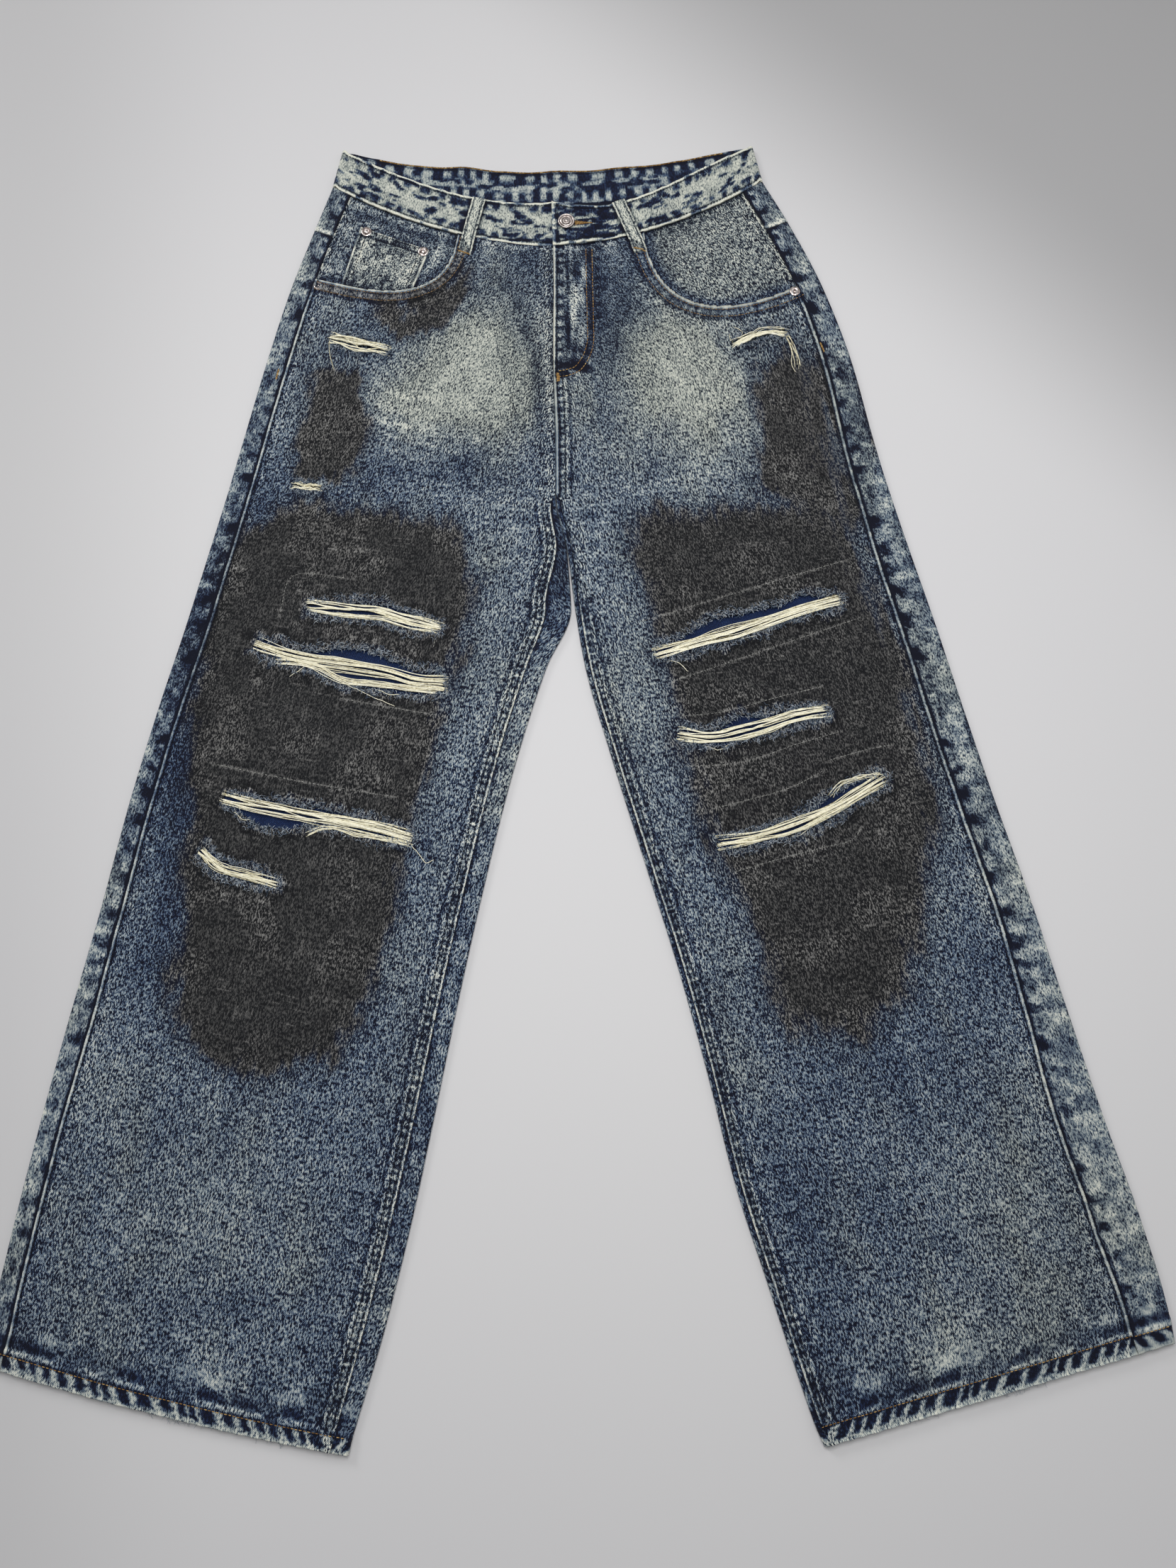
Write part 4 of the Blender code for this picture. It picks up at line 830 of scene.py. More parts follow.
def weather(cloth):
    """The general tone: mottling, fades, navy shades, whiskers, a few lines of painted fold shade, and the
    charcoal stains with pale scratches.
    """
    x, y, u, v = cloth.x, cloth.y, cloth.u, cloth.v
    cloth.wash += (0.034 * mottle(x, y, 60, 1) + 0.05 * mottle(u, v * 0.35, 18, 2)
                   + 0.05 * mottle(u, v * 0.35, 5.0, 3))
    cloth.grey = np.clip(0.09 + 0.3 * mottle(u, v * 0.5, 24, 15) + 0.15 * mottle(u, v * 0.5, 8, 16), 0, 1)
    for middle_x, middle_y, wide, high, paler in SHADES + FADES:
        share = np.exp(-((x - middle_x) / wide) ** 2 - ((y - middle_y) / high) ** 2)
        share = share * (1 + 0.18 * mottle(u, v * 0.5, 12, 17))
        cloth.wash += paler * share
        cloth.speck -= 0.16 * max(paler, 0.0) * share
        cloth.grey = np.clip(cloth.grey + share * paler * (5 if paler > 0 else 3), 0, 1)
    for start, end, wide, paler in STREAKS:
        away = beside_line(x, y + 3 * mottle(x, y, 22, 18), smooth_line((start, end), 40))[0]
        cloth.wash += paler * np.exp(-(away / wide) ** 2) * (1.0 + 0.8 * mottle(x, y, 9, 4))
    level = mottle(x * 0.16, y + 0.12 * np.abs(x), 3.2, 103)
    level = level + 0.7 * mottle(x * 0.3, y + 0.1 * np.abs(x), 1.9, 104)
    thigh = np.exp(-((y + 10) / 75) ** 2) * (1 - ease(np.abs(x), 235.0, 265.0))
    cloth.wash += 0.075 * thigh * level
    wander_x = x + 8 * mottle(u, v * 0.35, 16, 5) + 6 * mottle(u, v * 0.4, 5, 6)
    wander_y = y + 10 * mottle(u, v * 0.5, 18, 7) + 9 * mottle(u, v * 0.4, 4, 8)
    for outline, soft, strength in SMUDGES:
        depth = inside_depth(wander_x, wander_y, np.array(outline, dtype=float), SMUDGE_REACH)
        stain = ease(depth, -soft * 1.1, soft * 1.3)
        cloth.smudge = np.maximum(cloth.smudge, strength * stain)
    patches = ease(mottle(x, y, 30, 10) + 0.5 * mottle(x, y, 12, 19), -0.1, 0.7)
    scratch = ease(mottle(u * 1.5, v * 0.5, 4, 9), 0.25, 0.85) * patches
    across_it = ease(mottle(x * 0.3, y * 1.2, 5, 76), 0.45, 0.9) * ease(mottle(x, y, 34, 77), 0.1, 0.6)
    coal = 0.145 + 0.025 * mottle(x, y, 16, 11) + 0.02 * mottle(u, v * 0.4, 5, 12)
    coal = coal + 0.11 * scratch + 0.1 * across_it
    edge = 4 * cloth.smudge * (1 - cloth.smudge)
    cloth.wash += (coal - cloth.wash) * cloth.smudge - 0.09 * edge
    cloth.grey += (0.5 - cloth.grey) * edge * 0.8
    cloth.speck += (0.045 + 0.045 * patches - cloth.speck) * cloth.smudge + 0.03 * edge


def rips_of(side):
    """The names of a leg's rips, which end with the side."""
    return [name for name in BUNDLES if name.endswith(side)]


def hole(name):
    """The ragged outline of a rip: its yarns' line, moved to both sides by the heights in HOLES."""
    middle = smooth_line(BUNDLES[name][0][0], 1.6)
    beside = headings(middle)[1]
    t = np.linspace(0, 1, len(middle))
    run = t * np.linalg.norm(middle[-1] - middle[0])
    seed = list(BUNDLES).index(name)
    if beside[0, 1] < 0:
        beside = -beside
    edges = []
    for table, turn, key in ((HOLES, 1, 20), (HOLES_BELOW, -1, 40)):
        place, height = np.array(table[name]).T
        wave = 0.6 * mottle(run, run * 0, 6, key + seed) + 0.4 * mottle(run, run * 0, 2.4, key + seed)
        away = np.interp(t, place, height) + HOLE_WAVE * wave
        edges.append(middle + beside * turn * away[:, None])
    return np.concatenate([edges[0], edges[1][::-1]])


def fray_rims(cloth, side):
    """The frayed rim of each rip: an uneven dark blue band with pale broken fibres, standing up a little."""
    for name in rips_of(side):
        big = 1.0 if len(BUNDLES[name][0][0]) > 3 else 0.5
        away = -inside_depth(cloth.x, cloth.y, hole(name), 22.0)
        wide = (6.0 + 5.0 * mottle(cloth.x, cloth.y, 11, 12) + 3.0 * mottle(cloth.x, cloth.y, 4, 94)) * big
        rim = 1 - ease(away, wide - 3.0, wide + 3.5)
        lumps = 0.7 * mottle(cloth.x, cloth.y, 2.4, 13) + 0.5 * mottle(cloth.x, cloth.y, 5.5, 14)
        cloth.wash += (0.09 + 0.22 * lumps - cloth.wash) * rim * 0.9
        cloth.speck += (0.17 - cloth.speck) * rim
        cloth.grey += (0.45 - cloth.grey) * rim
        cloth.smudge *= 1 - 0.7 * rim * (0.7 + 0.3 * lumps)
        # Painted shadow along the outer edge of the raised rim
        cloth.wash -= 0.18 * line_of(away, wide + 2.0, 2.2) * ease(mottle(cloth.x, cloth.y, 9, 14), -0.2, 0.4)
        cloth.lift(rim * (0.5 + 0.45 * lumps))
        cloth.cut(hole(name))


def pocket_outline(side):
    """The opening above a front pocket's mouth."""
    mouth = curve_points(POCKET_MOUTH[side], 90)
    out = SIDE[side] * 40.0
    corner = [(mouth[-1][0] + out, mouth[-1][1] - 2.0), (mouth[-1][0] + out, 400.0),
              (mouth[0][0] - SIDE[side], 400.0)]
    return np.concatenate([mouth, corner])


def front_cloth(side):
    """A front: x and y along its rows from the outseam, height from the top layer with its creases."""
    rows, down = even_rows(side, WAIST_GAP, station("hem_edge"), near=(15.0, 19.0))
    row = row_table(side, rows)
    start, end = row["outseam"] + SEAM / 2, row_length(row) - row["inseam"] - SEAM / 2
    distance = spread(start, end, FRONT_COLUMNS, FRONT_NEAR[side])
    spot = across(row, distance)
    grid = raised(spot, top_layer(spot[..., 0], spot[..., 1], row["cloth"]))
    cloth = Cloth(grid, distance, np.broadcast_to(down[:, None], distance.shape))
    lowest = grid[..., 2] - LEAST_DIP
    weather(cloth)
    cloth.lift(creases(cloth))
    from_out, from_in = distance - start, end - distance
    along, from_hem = cloth.v, down[-1] - cloth.v
    if side == "left":
        drift = ease(mottle(from_out, along * 0.14, 5.0, 105), -0.5, 0.5)
        blue = 0.75 * drift * np.exp(-(from_out / 30) ** 2)
        cloth.wash += (0.27 - cloth.wash) * blue * cloth.smudge
        cloth.grey += (0.8 - cloth.grey) * blue * cloth.smudge
        cloth.smudge *= 1 - 0.8 * blue
    pucker(cloth, from_out, along, 9.0, 10.0, 0.3, 0.16, 21)
    cloth.wash += 0.46 * line_of(from_out, 0.9, 1.1) - 0.34 * line_of(from_out, 3.2, 1.2)
    cloth.calm(line_of(from_out, 0.9, 2.0))
    low, high = {"right": (-4.0, 10.0), "left": (75.0, 115.0)}[side]
    leg_part = ease(-cloth.y, low, high) * ease(from_hem, 13.0, 16.0)
    # Painted shade along the inner edge from the crotch down, where no felled seam shows
    cloth.wash -= 0.2 * line_of(from_in, 0.0, 3.0) * ease(-cloth.y, -4.0, 10.0) * (1 - leg_part)
    if side == "right":
        ladder(cloth, from_in, along, 1.8, 8.6, leg_part, 22, 6.0)
    else:
        ladder(cloth, from_in, along, 1.6, 6.6, leg_part, 22, 6.5)
    pucker(cloth, from_in, along, 15.0, 13.0, 0.35, 0.08, 46)
    tuck = mottle(distance, along * 0.25, 5.5, 23)
    # The last term is a painted shadow just under the waistband
    cloth.wash += ((0.24 * ease(tuck, -0.3, 0.4) - 0.06) * line_of(along, 4.5, 3.2)
                   - 0.3 * line_of(along, 0.0, 1.4))
    cloth.wash -= 0.26 * ease(-tuck, 0.1, 0.5) * line_of(along, 11.0, 4.0)
    pucker(cloth, along, distance, 14.0, 12.0, 0.4, 0.2, 24)
    fall = mottle(distance, along * 0.1, 8.0, 101) + 0.6 * mottle(distance, along * 0.14, 3.4, 102)
    cloth.wash += (0.13 * fall - 0.02) * np.exp(-(along / 46) ** 2) * ease(along, 3.0, 10.0)
    hem_cloth(cloth, distance, from_hem)
    mouth = curve_points(POCKET_MOUTH[side], 60)
    away, _, run = beside_line(cloth.x, cloth.y, mouth)
    band = 1 - ease(away, 10.5, 13.0)
    # Bars across the mouth's band: pale wear on its puckers and painted shade between them
    steps = 0.5 * beats(run, 5.2, 98) + 0.6 * mottle(run, away * 0.15, 3.4, 25)
    stain = {"right": 0.55, "left": 0.1}[side]
    cloth.smudge = np.maximum(cloth.smudge, band * stain * ease(away, 0.5, 3.0))
    cloth.wash += (0.33 + 0.26 * steps - cloth.wash) * band * 0.8
    # The last term is a painted shadow just beyond the mouth's raised band
    cloth.wash += (0.6 * line_of(away, 0.4, 1.5) - 0.34 * line_of(away, 3.4, 1.1)
                   - 0.36 * line_of(away, 12.6, 1.8))
    cloth.calm(line_of(away, 0.4, 2.0))
    cloth.speck -= 0.06 * band
    cloth.wash -= 0.2 * line_of(away, 10.2, 1.0)
    pucker(cloth, np.abs(away - 12), run, 7.0, 9.0, 0.3, 0.10, 47)
    cloth.lift(0.55 * band - 0.25 * line_of(away, 3.0, 1.2) - 0.25 * line_of(away, 10.2, 1.2)
               + 0.2 * band * steps)
    if side == "left":
        fly_cloth(cloth)
    else:
        seam = line_of(cloth.x, 5.6, 2.2) * ease(cloth.y, -4.0, 8.0)
        cloth.wash -= 0.3 * seam
        pucker(cloth, from_in, along, 12.0, 12.0, 0.3, 0.08, 48)
    for line in PATCH_ROWS:
        away = beside_line(cloth.x, cloth.y, smooth_line(line, 4))[0]
        dash = mottle(cloth.x, cloth.y, 3.2, 26)
        cloth.wash += (0.12 + 0.12 * dash) * np.exp(-(away / 1.5) ** 2) - 0.05 * line_of(away, 3.4, 1.4)
        cloth.lift(-0.3 * np.exp(-(away / 1.8) ** 2))
    painted_loop_shadows(cloth)
    fray_rims(cloth, side)
    cloth.grid[..., 2] = np.maximum(cloth.grid[..., 2], lowest)
    cloth.cut(pocket_outline(side))
    return cloth, row["cloth"][..., None]


def hem_cloth(cloth, run, from_hem):
    """The turned hem: pale bars and navy pools, a pale worn edge, a dark stitched line and arcs above it."""
    hem = 1 - ease(from_hem, 11.0, 12.2)
    sway = 2.5 * mottle(run, from_hem * 0.3, 14, 27)
    bars = 0.8 * beats(run + 0.5 * from_hem + sway, 12.0, 78) + 0.35 * mottle(run, from_hem, 4.0, 49)
    pool = ease(-bars, -0.45, 0.05) * ease(from_hem + 2 * mottle(run, run * 0, 7, 88), 2.6, 4.6)
    cloth.smudge *= 1 - hem
    cloth.lift(hem * (0.5 * bars + 0.2))
    cloth.wash += hem * (0.54 + 0.12 * bars - 0.5 * pool - cloth.wash) + 0.14 * line_of(from_hem, 0.6, 1.5)
    cloth.grey += (0.45 - cloth.grey) * hem * (1 - pool)
    cloth.wash -= 0.34 * line_of(from_hem, 12.0, 1.1)
    cloth.speck -= 0.05 * hem
    above = ease(from_hem, 12.2, 14.0)
    blot = mottle(run, from_hem * 0.8, 13.0, 28) + 0.6 * mottle(run + 0.6 * from_hem, from_hem * 0.7, 5.5, 29)
    dark = ease(blot, 0.0, 0.4) * line_of(from_hem, 20.0, 5.0)
    arc = ease(mottle(run, from_hem * 1.6, 15.0, 79), 0.15, 0.5) * line_of(from_hem, 29.0, 8.0)
    cloth.wash += above * (0.3 * line_of(from_hem, 14.6, 1.7) * ease(blot, -0.5, 0.1)
                           - 0.36 * dark + 0.22 * arc)
    cloth.wash += above * (0.16 * blot - 0.06) * np.exp(-((from_hem - 13) / 26) ** 2)
    cloth.speck -= 0.05 * above * np.maximum(dark, arc)
    cloth.lift(above * 0.5 * blot * np.exp(-((from_hem - 13) / 22) ** 2))


def fly_cloth(cloth):
    """The fly on the left front: a pale edge, navy spots beside it, and the stitched J that bounds it."""
    x, y = cloth.x, cloth.y
    edge = np.interp(y, (0, 73, 129, 186, 252), (4.8, 6.2, 5.1, 7.1, 8.8))
    from_edge = x - edge
    above = ease(y, 116.0, 126.0)
    curve = smooth_line(FLY_STITCH, 2.0)
    away, side, _ = beside_line(x, y, curve)
    centre = ease(y, 2.0, 10.0)
    ladder(cloth, from_edge, y, 2.4, 9.0, centre * (1 - 0.6 * above), 30, 6.0)
    within = above * (1 - ease(x, 38.0, 44.0))
    streak = 0.6 * mottle(x, y * 0.15, 3.4, 31) + 0.5 * mottle(x, y * 0.4, 6, 32)
    cloth.wash += within * ease(from_edge, 8.0, 11.0) * (0.46 * streak - 0.02)
    spots = ease(beats(y, 10.5, 80) + 0.3 * mottle(x, y, 3, 92), -0.1, 0.5) * line_of(from_edge, 6.4, 3.4)
    cloth.wash += above * (0.16 * line_of(from_edge, 6.4, 5.0) - 0.5 * spots)
    cloth.speck -= 0.04 * above * line_of(from_edge, 6.4, 5.0)
    cloth.wash -= 0.2 * above * line_of(from_edge, 13.0, 1.8) * ease(mottle(y, x * 0, 14, 81), -0.2, 0.3)
    channel = (away < 9) * (side < 0) * line_of(away, 3.0, 3.4) * ease(y, 110.0, 118.0)
    cloth.wash -= 0.26 * channel + 0.16 * np.exp(-(away / 1.4) ** 2) * ease(y, 112.0, 120.0)
    beyond = ease(beats(y, 10.0, 82), 0.0, 0.5) * (side > 0) * line_of(away, 5.0, 3.0)
    cloth.wash -= 0.3 * beyond * ease(y, 150.0, 190.0)
    cloth.lift(-0.3 * np.exp(-(away / 1.6) ** 2) + 0.35 * within * streak)
    low = within * (1 - ease(y, 130.0, 160.0))
    zigzag = mottle(y + 0.35 * x, x * 0.4, 4.6, 34)
    cloth.wash += low * (0.55 * zigzag - 0.2)
    cloth.wash -= 0.22 * above * line_of(away, 8.0, 7.0) * (side < 0) * (1 - ease(y, 150.0, 175.0)) * (x > 20)
    cloth.lift(0.4 * low * zigzag)
    bead = centre * (0.46 * above - 0.2 * (1 - above))
    cloth.wash += bead * line_of(from_edge, 0.4, 1.2) - 0.34 * line_of(from_edge, 2.9, 0.9) * centre
    cloth.calm(line_of(from_edge, 0.4, 1.8) * centre)


def back_cloth(side, first, last, flat):
    """A back or a yoke: its strip beside the outseam, over the outer fold, underneath and up the inner fold.

    Rows run down the leg. A row goes through a flat strip, a half circle x = r (1 - sin a),
    z = r (1 + cos a), the flat underside, and a second half circle on the inner side.
    """
    rows, down = even_rows(side, first, last)
    row = row_table(side, rows)
    cloth, length = row["cloth"], row_length(row)
    under_length = row_length(row, row["back_rise"])
    wraps = row["inseam"] > 0

    def height_at(distance):
        spot = across(row, distance)
        return top_layer(spot[..., 0], spot[..., 1], cloth)

    outer, inner = ((height_at(at) - cloth / 2) / 2 for at in (np.full_like(length, 3.0), length - 3.0))
    turn = np.linspace(0, math.pi, TURN_POINTS)[None]
    strip = np.linspace(0, 1, FLAT_POINTS)[None, :-1] ** 1.2
    begin = row["outseam"] - SEAM / 2
    top = begin * (1 - strip) + (outer + cloth / 2) * strip
    over = outer * (1 - np.sin(turn)) + cloth / 2
    flat_end = np.where(wraps, under_length - inner - cloth / 2 - SEAM / 2, under_length - SEAM / 2)
    share = np.linspace(0, 1, FLAT_POINTS)[None, 1:]
    under = outer + cloth / 2 + (flat_end - outer - cloth / 2) * share
    rise = length - SEAM / 2 - cloth / 2 - inner * (1 - np.sin(turn[:, 1:]))
    reach = length - np.maximum(row["inseam"], inner + cloth / 2 + 1.0) + SEAM / 2
    back = rise[:, -1:] + (reach - rise[:, -1:]) * (np.linspace(0, 1, 9)[None, 1:] ** 0.8)
    spots, heights = [], []
    low = row["back_rise"]
    around = outer * (1 + np.cos(turn)) + cloth / 2
    pieces = ((top, False, height_at(top)), (over[:, :5], False, around[:, :5]),
              (over[:, 5:], True, around[:, 5:]),
              (under, True, np.broadcast_to(cloth / 2, under.shape)),
              (rise, False, inner * (1 - np.cos(turn[:, 1:])) + cloth / 2), (back, False, height_at(back)))
    for distance, beneath, height in pieces:
        spots.append(across(row, distance, low) if beneath else across(row, distance))
        heights.append(np.broadcast_to(height, distance.shape))
    grid = raised(np.concatenate(spots, 1), np.concatenate(heights, 1))
    folded = top.shape[1] + over.shape[1] + under.shape[1]
    if flat:
        grid = grid[:, :folded]
    step = np.linalg.norm(np.diff(grid, axis=1), axis=-1)
    u = begin - np.concatenate([np.zeros((len(rows), 1)), np.cumsum(step, axis=1)], axis=1)
    result = Cloth(grid, -u, np.broadcast_to(down[:, None], u.shape))
    if not flat:
        result.keep[~wraps[:-1, 0], folded - 1:] = False
    weather(result)
    from_out = begin - u
    visible = np.zeros(u.shape)
    visible[:, :top.shape[1] + 4] = 1
    blot = mottle(from_out, result.v, 7.0, 33) + 0.7 * mottle(from_out, result.v, 2.8, 34)
    pool = ease(beats(result.v, 25.0, 39) + 1.3 * mottle(from_out, result.v, 5.0, 40), 0.35, 0.95)
    pool = pool * np.exp(-((from_out - 5) / 7) ** 2)
    clean = 0.9 * visible * ease(-from_out, -24.0, -19.0)
    result.wash += (0.28 - result.wash) * clean * result.smudge
    result.speck += (0.12 - result.speck) * clean * result.smudge
    result.smudge *= 1 - clean
    if side == "left":
        result.wash -= 0.2 * visible * line_of(u, 0.0, 4.0) * ease(result.y, -330.0, -280.0)
    depth = {"right": 0.36, "left": 0.5}[side]
    result.wash += visible * (0.2 * blot + 0.165 - depth * pool) * (1 - 0.5 * result.smudge)
    result.grey = np.clip(result.grey + 0.25 * visible, 0, 1)
    # Painted shadow in the gap at the outseam, beside the front's edge
    result.wash -= 0.75 * line_of(from_out, 0.4, 1.7) * visible
    result.speck -= 0.05 * visible
    result.lift(0.35 * visible * np.exp(-(from_out / 14) ** 2) * blot)
    if flat:
        result.wash += 0.36 * line_of(down[-1] - result.v, 1.6, 2.0) * visible
        result.lift(0.5 * line_of(down[-1] - result.v, 1.6, 2.5) * visible)
    else:
        result.wash -= 0.3 * line_of(result.v, 0.6, 2.0) * visible
        inside_edge = np.zeros(u.shape)
        inside_edge[:, folded:] = 1
        to_end = step.sum(1, keepdims=True) - from_out
        mark = mottle(to_end, result.v, 6.5, 35)
        # Its last term is painted shadow in the gap at the inseam, beside the front's inner edge
        result.wash += inside_edge * (0.14 * mark + 0.02) - 0.34 * inside_edge * line_of(to_end, 0.4, 1.6)
        # Painted shade on the right leg's inner strip near the crotch, beside the left leg's edge
        if side == "right":
            result.wash -= 0.16 * inside_edge * ease(result.y, -150.0, -70.0)
        hem_cloth(result, from_out, down[-1] - result.v)
    return result, cloth[..., None]


def facing_cloth(side):
    """A pocket facing, seen inside the mouth: lower than the front and shaded beside the mouth's edge."""
    rows, down = even_rows(side, WAIST_GAP, FACING_ROWS[side])
    row = row_table(side, rows)
    start = row["outseam"] + SEAM / 2
    end = row_length(row) - row["inseam"] - SEAM / 2
    low, high = start + (end - start) * FACING_EDGE, start + (end - start) * FACING_SHARE[side]
    distance = spread(low, high, FACING_COLUMNS)
    spot = across(row, distance)
    grid = raised(spot, top_layer(spot[..., 0], spot[..., 1], row["cloth"]) - FACING_STEP)
    cloth = Cloth(grid, distance, np.broadcast_to(down[:, None], distance.shape))
    x, y, v = cloth.x, cloth.y, cloth.v
    away = beside_line(x, y, curve_points(POCKET_MOUTH[side], 60))[0]
    notch = mottle(distance, v * 0.3, 5.0, 83)
    if side == "right":
        cloth.wash[:] = 0.33 + 0.1 * mottle(x * 1.4 + y, y - x * 0.5, 13, 36) + 0.09 * mottle(x + y, y, 4, 37)
        cloth.wash += 0.2 * line_of(away, 14.0, 4.0) - 0.2 * np.exp(-(away / 8) ** 2)
        cloth.wash += 0.2 * line_of(v, 5.0, 3.0) * ease(notch, -0.4, 0.3) - 0.22 * line_of(v, 12.0, 4.0)
        cloth.grey[:] = 0.3
        cloth.speck[:] = 0.12
        corners = np.array(COIN_CORNERS + COIN_CORNERS[:1], dtype=float)
        # Painted shadow round the coin pocket's edge
        cloth.wash -= 0.3 * line_of(beside_line(x, y, corners)[0], 1.4, 1.8)
    else:
        cloth.wash[:] = 0.37 + 0.09 * mottle(x, y, 16, 36) + 0.06 * mottle(x, y, 2.6, 37)
        cloth.wash -= 0.26 * np.exp(-(away / 8) ** 2) + 0.08 * np.exp(-(away / 24) ** 2)
        cloth.wash -= 0.26 * ease(-notch, 0.0, 0.5) * line_of(v, 6.0, 3.5)
        cloth.grey[:] = 0.7 * ease(away, 2, 14)
        cloth.speck[:] = 0.14
    # Painted shadow along the top, just under the waistband
    cloth.wash -= 0.3 * np.exp(-(v / 1.8) ** 2)
    pucker(cloth, distance - start, v, 8.0, 10.0, 0.25, 0.18, 38)
    cloth.wash += 0.34 * line_of(distance - start, 0.6, 0.9) - 0.24 * line_of(distance - start, 3.0, 1.3)
    painted_loop_shadows(cloth)
    return cloth, np.full((len(rows), 1, 1), DENIM)


def four_sided(corners, rows, columns):
    """A cloth between four corners: its places, how far over and down each one lies, its width and height."""
    a, b, c, d = (np.array(p) for p in corners)
    over, below = np.linspace(0, 1, columns)[None, :, None], np.linspace(0, 1, rows)[:, None, None]
    spot = (a + (b - a) * over) * (1 - below) + (d + (c - d) * over) * below
    wide, high = np.linalg.norm(b - a), np.linalg.norm(d - a)
    shape = spot.shape[:2]
    u, v = np.broadcast_to(over[..., 0] * wide, shape), np.broadcast_to(below[..., 0] * high, shape)
    return spot, u, v, wide, high


def coin_cloth():
    """The coin pocket: a small tapering patch with a stitched hem at its top, cut off by the pocket mouth."""
    spot, u, v, wide, high = four_sided(COIN_CORNERS, 56, 56)
    height = top_layer(spot[..., 0], spot[..., 1], DENIM) + COIN_LIFT
    cloth = Cloth(raised(spot, height), u, v)
    cloth.wash[:] = 0.49 + 0.15 * mottle(u, v, 9, 41) + 0.22 * mottle(u, v * 0.35, 3.0, 44)
    cloth.wash -= 0.2 * ease(v + 6 * mottle(u, v, 10, 97), 0.55 * high, 0.85 * high)
    cloth.grey[:] = 0.7
    cloth.speck[:] = 0.13
    hem = 1 - ease(v, COIN_HEM, COIN_HEM + 2.5)
    step = mottle(u, v * 0.2, 3.6, 42)
    cloth.wash += (hem * (0.26 * step - 0.1) - 0.4 * line_of(v, COIN_HEM + 1.2, 1.2)
                   + 0.34 * line_of(v, 0, 1.0))
    cloth.wash -= 0.22 * ease(mottle(u, v, 8, 84), 0.1, 0.5) * line_of(v, COIN_HEM + 7, 5.0)
    cloth.lift(0.3 * hem + 0.12 * hem * step)
    from_side = np.minimum(u, wide - u)
    pucker(cloth, from_side, v, 8.0, 9.0, 0.2, 0.14, 43)
    cloth.wash += 0.5 * line_of(wide - u, 0.3, 1.5) + 0.34 * line_of(u, 1.0, 1.3)
    cloth.calm(line_of(from_side, 0.5, 2.0))
    cloth.wash -= 0.36 * line_of(from_side, 3.4, 1.2)
    # Painted shade beside the pocket mouth's edge, which stands above the coin pocket
    away = beside_line(cloth.x, cloth.y, curve_points(POCKET_MOUTH["right"], 60))[0]
    cloth.wash -= 0.24 * np.exp(-(away / 4.5) ** 2)
    mouth = curve_points(POCKET_MOUTH["right"], 40) + np.array([-0.35, 0.45])
    cloth.cut(np.concatenate([mouth, [(-220.0, 150.0), (-60.0, 150.0)]]))
    return cloth, np.full((56, 1, 1), PATCH)


def back_edge(share):
    """The top edge of the waistband's back, at shares from its right end: it sags, and waves a little."""
    edge = np.array(BAND_TOP["right"]) * (1 - share[:, None]) + np.array(BAND_TOP["left"]) * share[:, None]
    edge[:, 1] -= BACK_TOP_SAG * 4 * share * (1 - share) - 2.4 * mottle(share * 400, 0.0, 30, 50)
    return edge


def band_cloth():
    """The waistband: under the button, round the back and over it again, as one strip of stations.

    Between the lower and the upper edge of a station the points are spread evenly. The front is pale with
    indigo blotches, and the inside of the back, which shows above it, is navy with pale tucks.
    """
    lowers, uppers, heights, kinds = [], [], [], []

    def lay(lower, upper, height, kind):
        lowers.append(np.atleast_2d(lower))
        uppers.append(np.atleast_2d(upper))
        heights.append(np.broadcast_to(height, len(lowers[-1])))
        kinds.append(np.full(len(lowers[-1]), kind))

    def front(side, shares, lifted):
        lower, upper = band_front_points(side, shares)
        lay(lower, upper, band_height(lower[:, 0], lower[:, 1], lifted), 0.0)

    def turned(side, downwards):
        low, high = (edge[0] for edge in band_front_points(side, (0.0,)))
        radius = (band_height(low[0], low[1], False) - BAND / 2) / 2
        angle = np.linspace(0, math.pi, TURN_POINTS)
        angle = angle if downwards else angle[::-1]
        shift = -SIDE[side] * (radius * (1 - np.sin(angle)) + BAND / 2)
        step = np.column_stack([shift, np.zeros(TURN_POINTS)])
        lay(low + step, high + step, radius * (1 + np.cos(angle)) + BAND / 2, 0.5)

    front("left", np.linspace(UNDER_END_SHARES[0], UNDER_END_SHARES[1], 10), False)
    front("right", np.linspace(1.0, BAND_SHARES[0], 110), False)
    turned("right", True)
    rows = {side: leg_rows(side, np.array([0.0])) for side in LEGS}
    for share in np.linspace(0.03, 0.97, 190):
        row = rows["right" if share < 0.5 else "left"]
        at = min(share, 1 - share) * 2
        low = across(row, row_length(row, row["back_rise"]) * at, row["back_rise"])[0]
        low[1] += SEAM / 2
        lay(low, back_edge(np.array([share])), BAND / 2, 1.0)
    turned("left", False)
    front("left", np.linspace(BAND_SHARES[0], 1.0, 112), True)
    lower, upper = np.concatenate(lowers)[:, None], np.concatenate(uppers)[:, None]
    height, kind = np.concatenate(heights)[:, None, None], np.concatenate(kinds)[:, None]
    tall = np.linalg.norm(upper - lower, axis=-1)
    share = (spread(0.0, 50.0, 20) / 50.0)[None, :, None]
    spot = lower + (upper - lower) * share
    grid = np.concatenate([spot, np.broadcast_to(height, spot.shape[:2] + (1,))], -1)
    middle = (lower + upper)[:, 0] / 2
    run = run_along(middle)[:, None]
    v = share[..., 0] * tall
    u = np.broadcast_to(run, v.shape)
    cloth = Cloth(grid, u, v)
    band_wash(cloth, kind, tall, run[-1])
    return cloth, np.full((len(run), 1, 1), BAND)


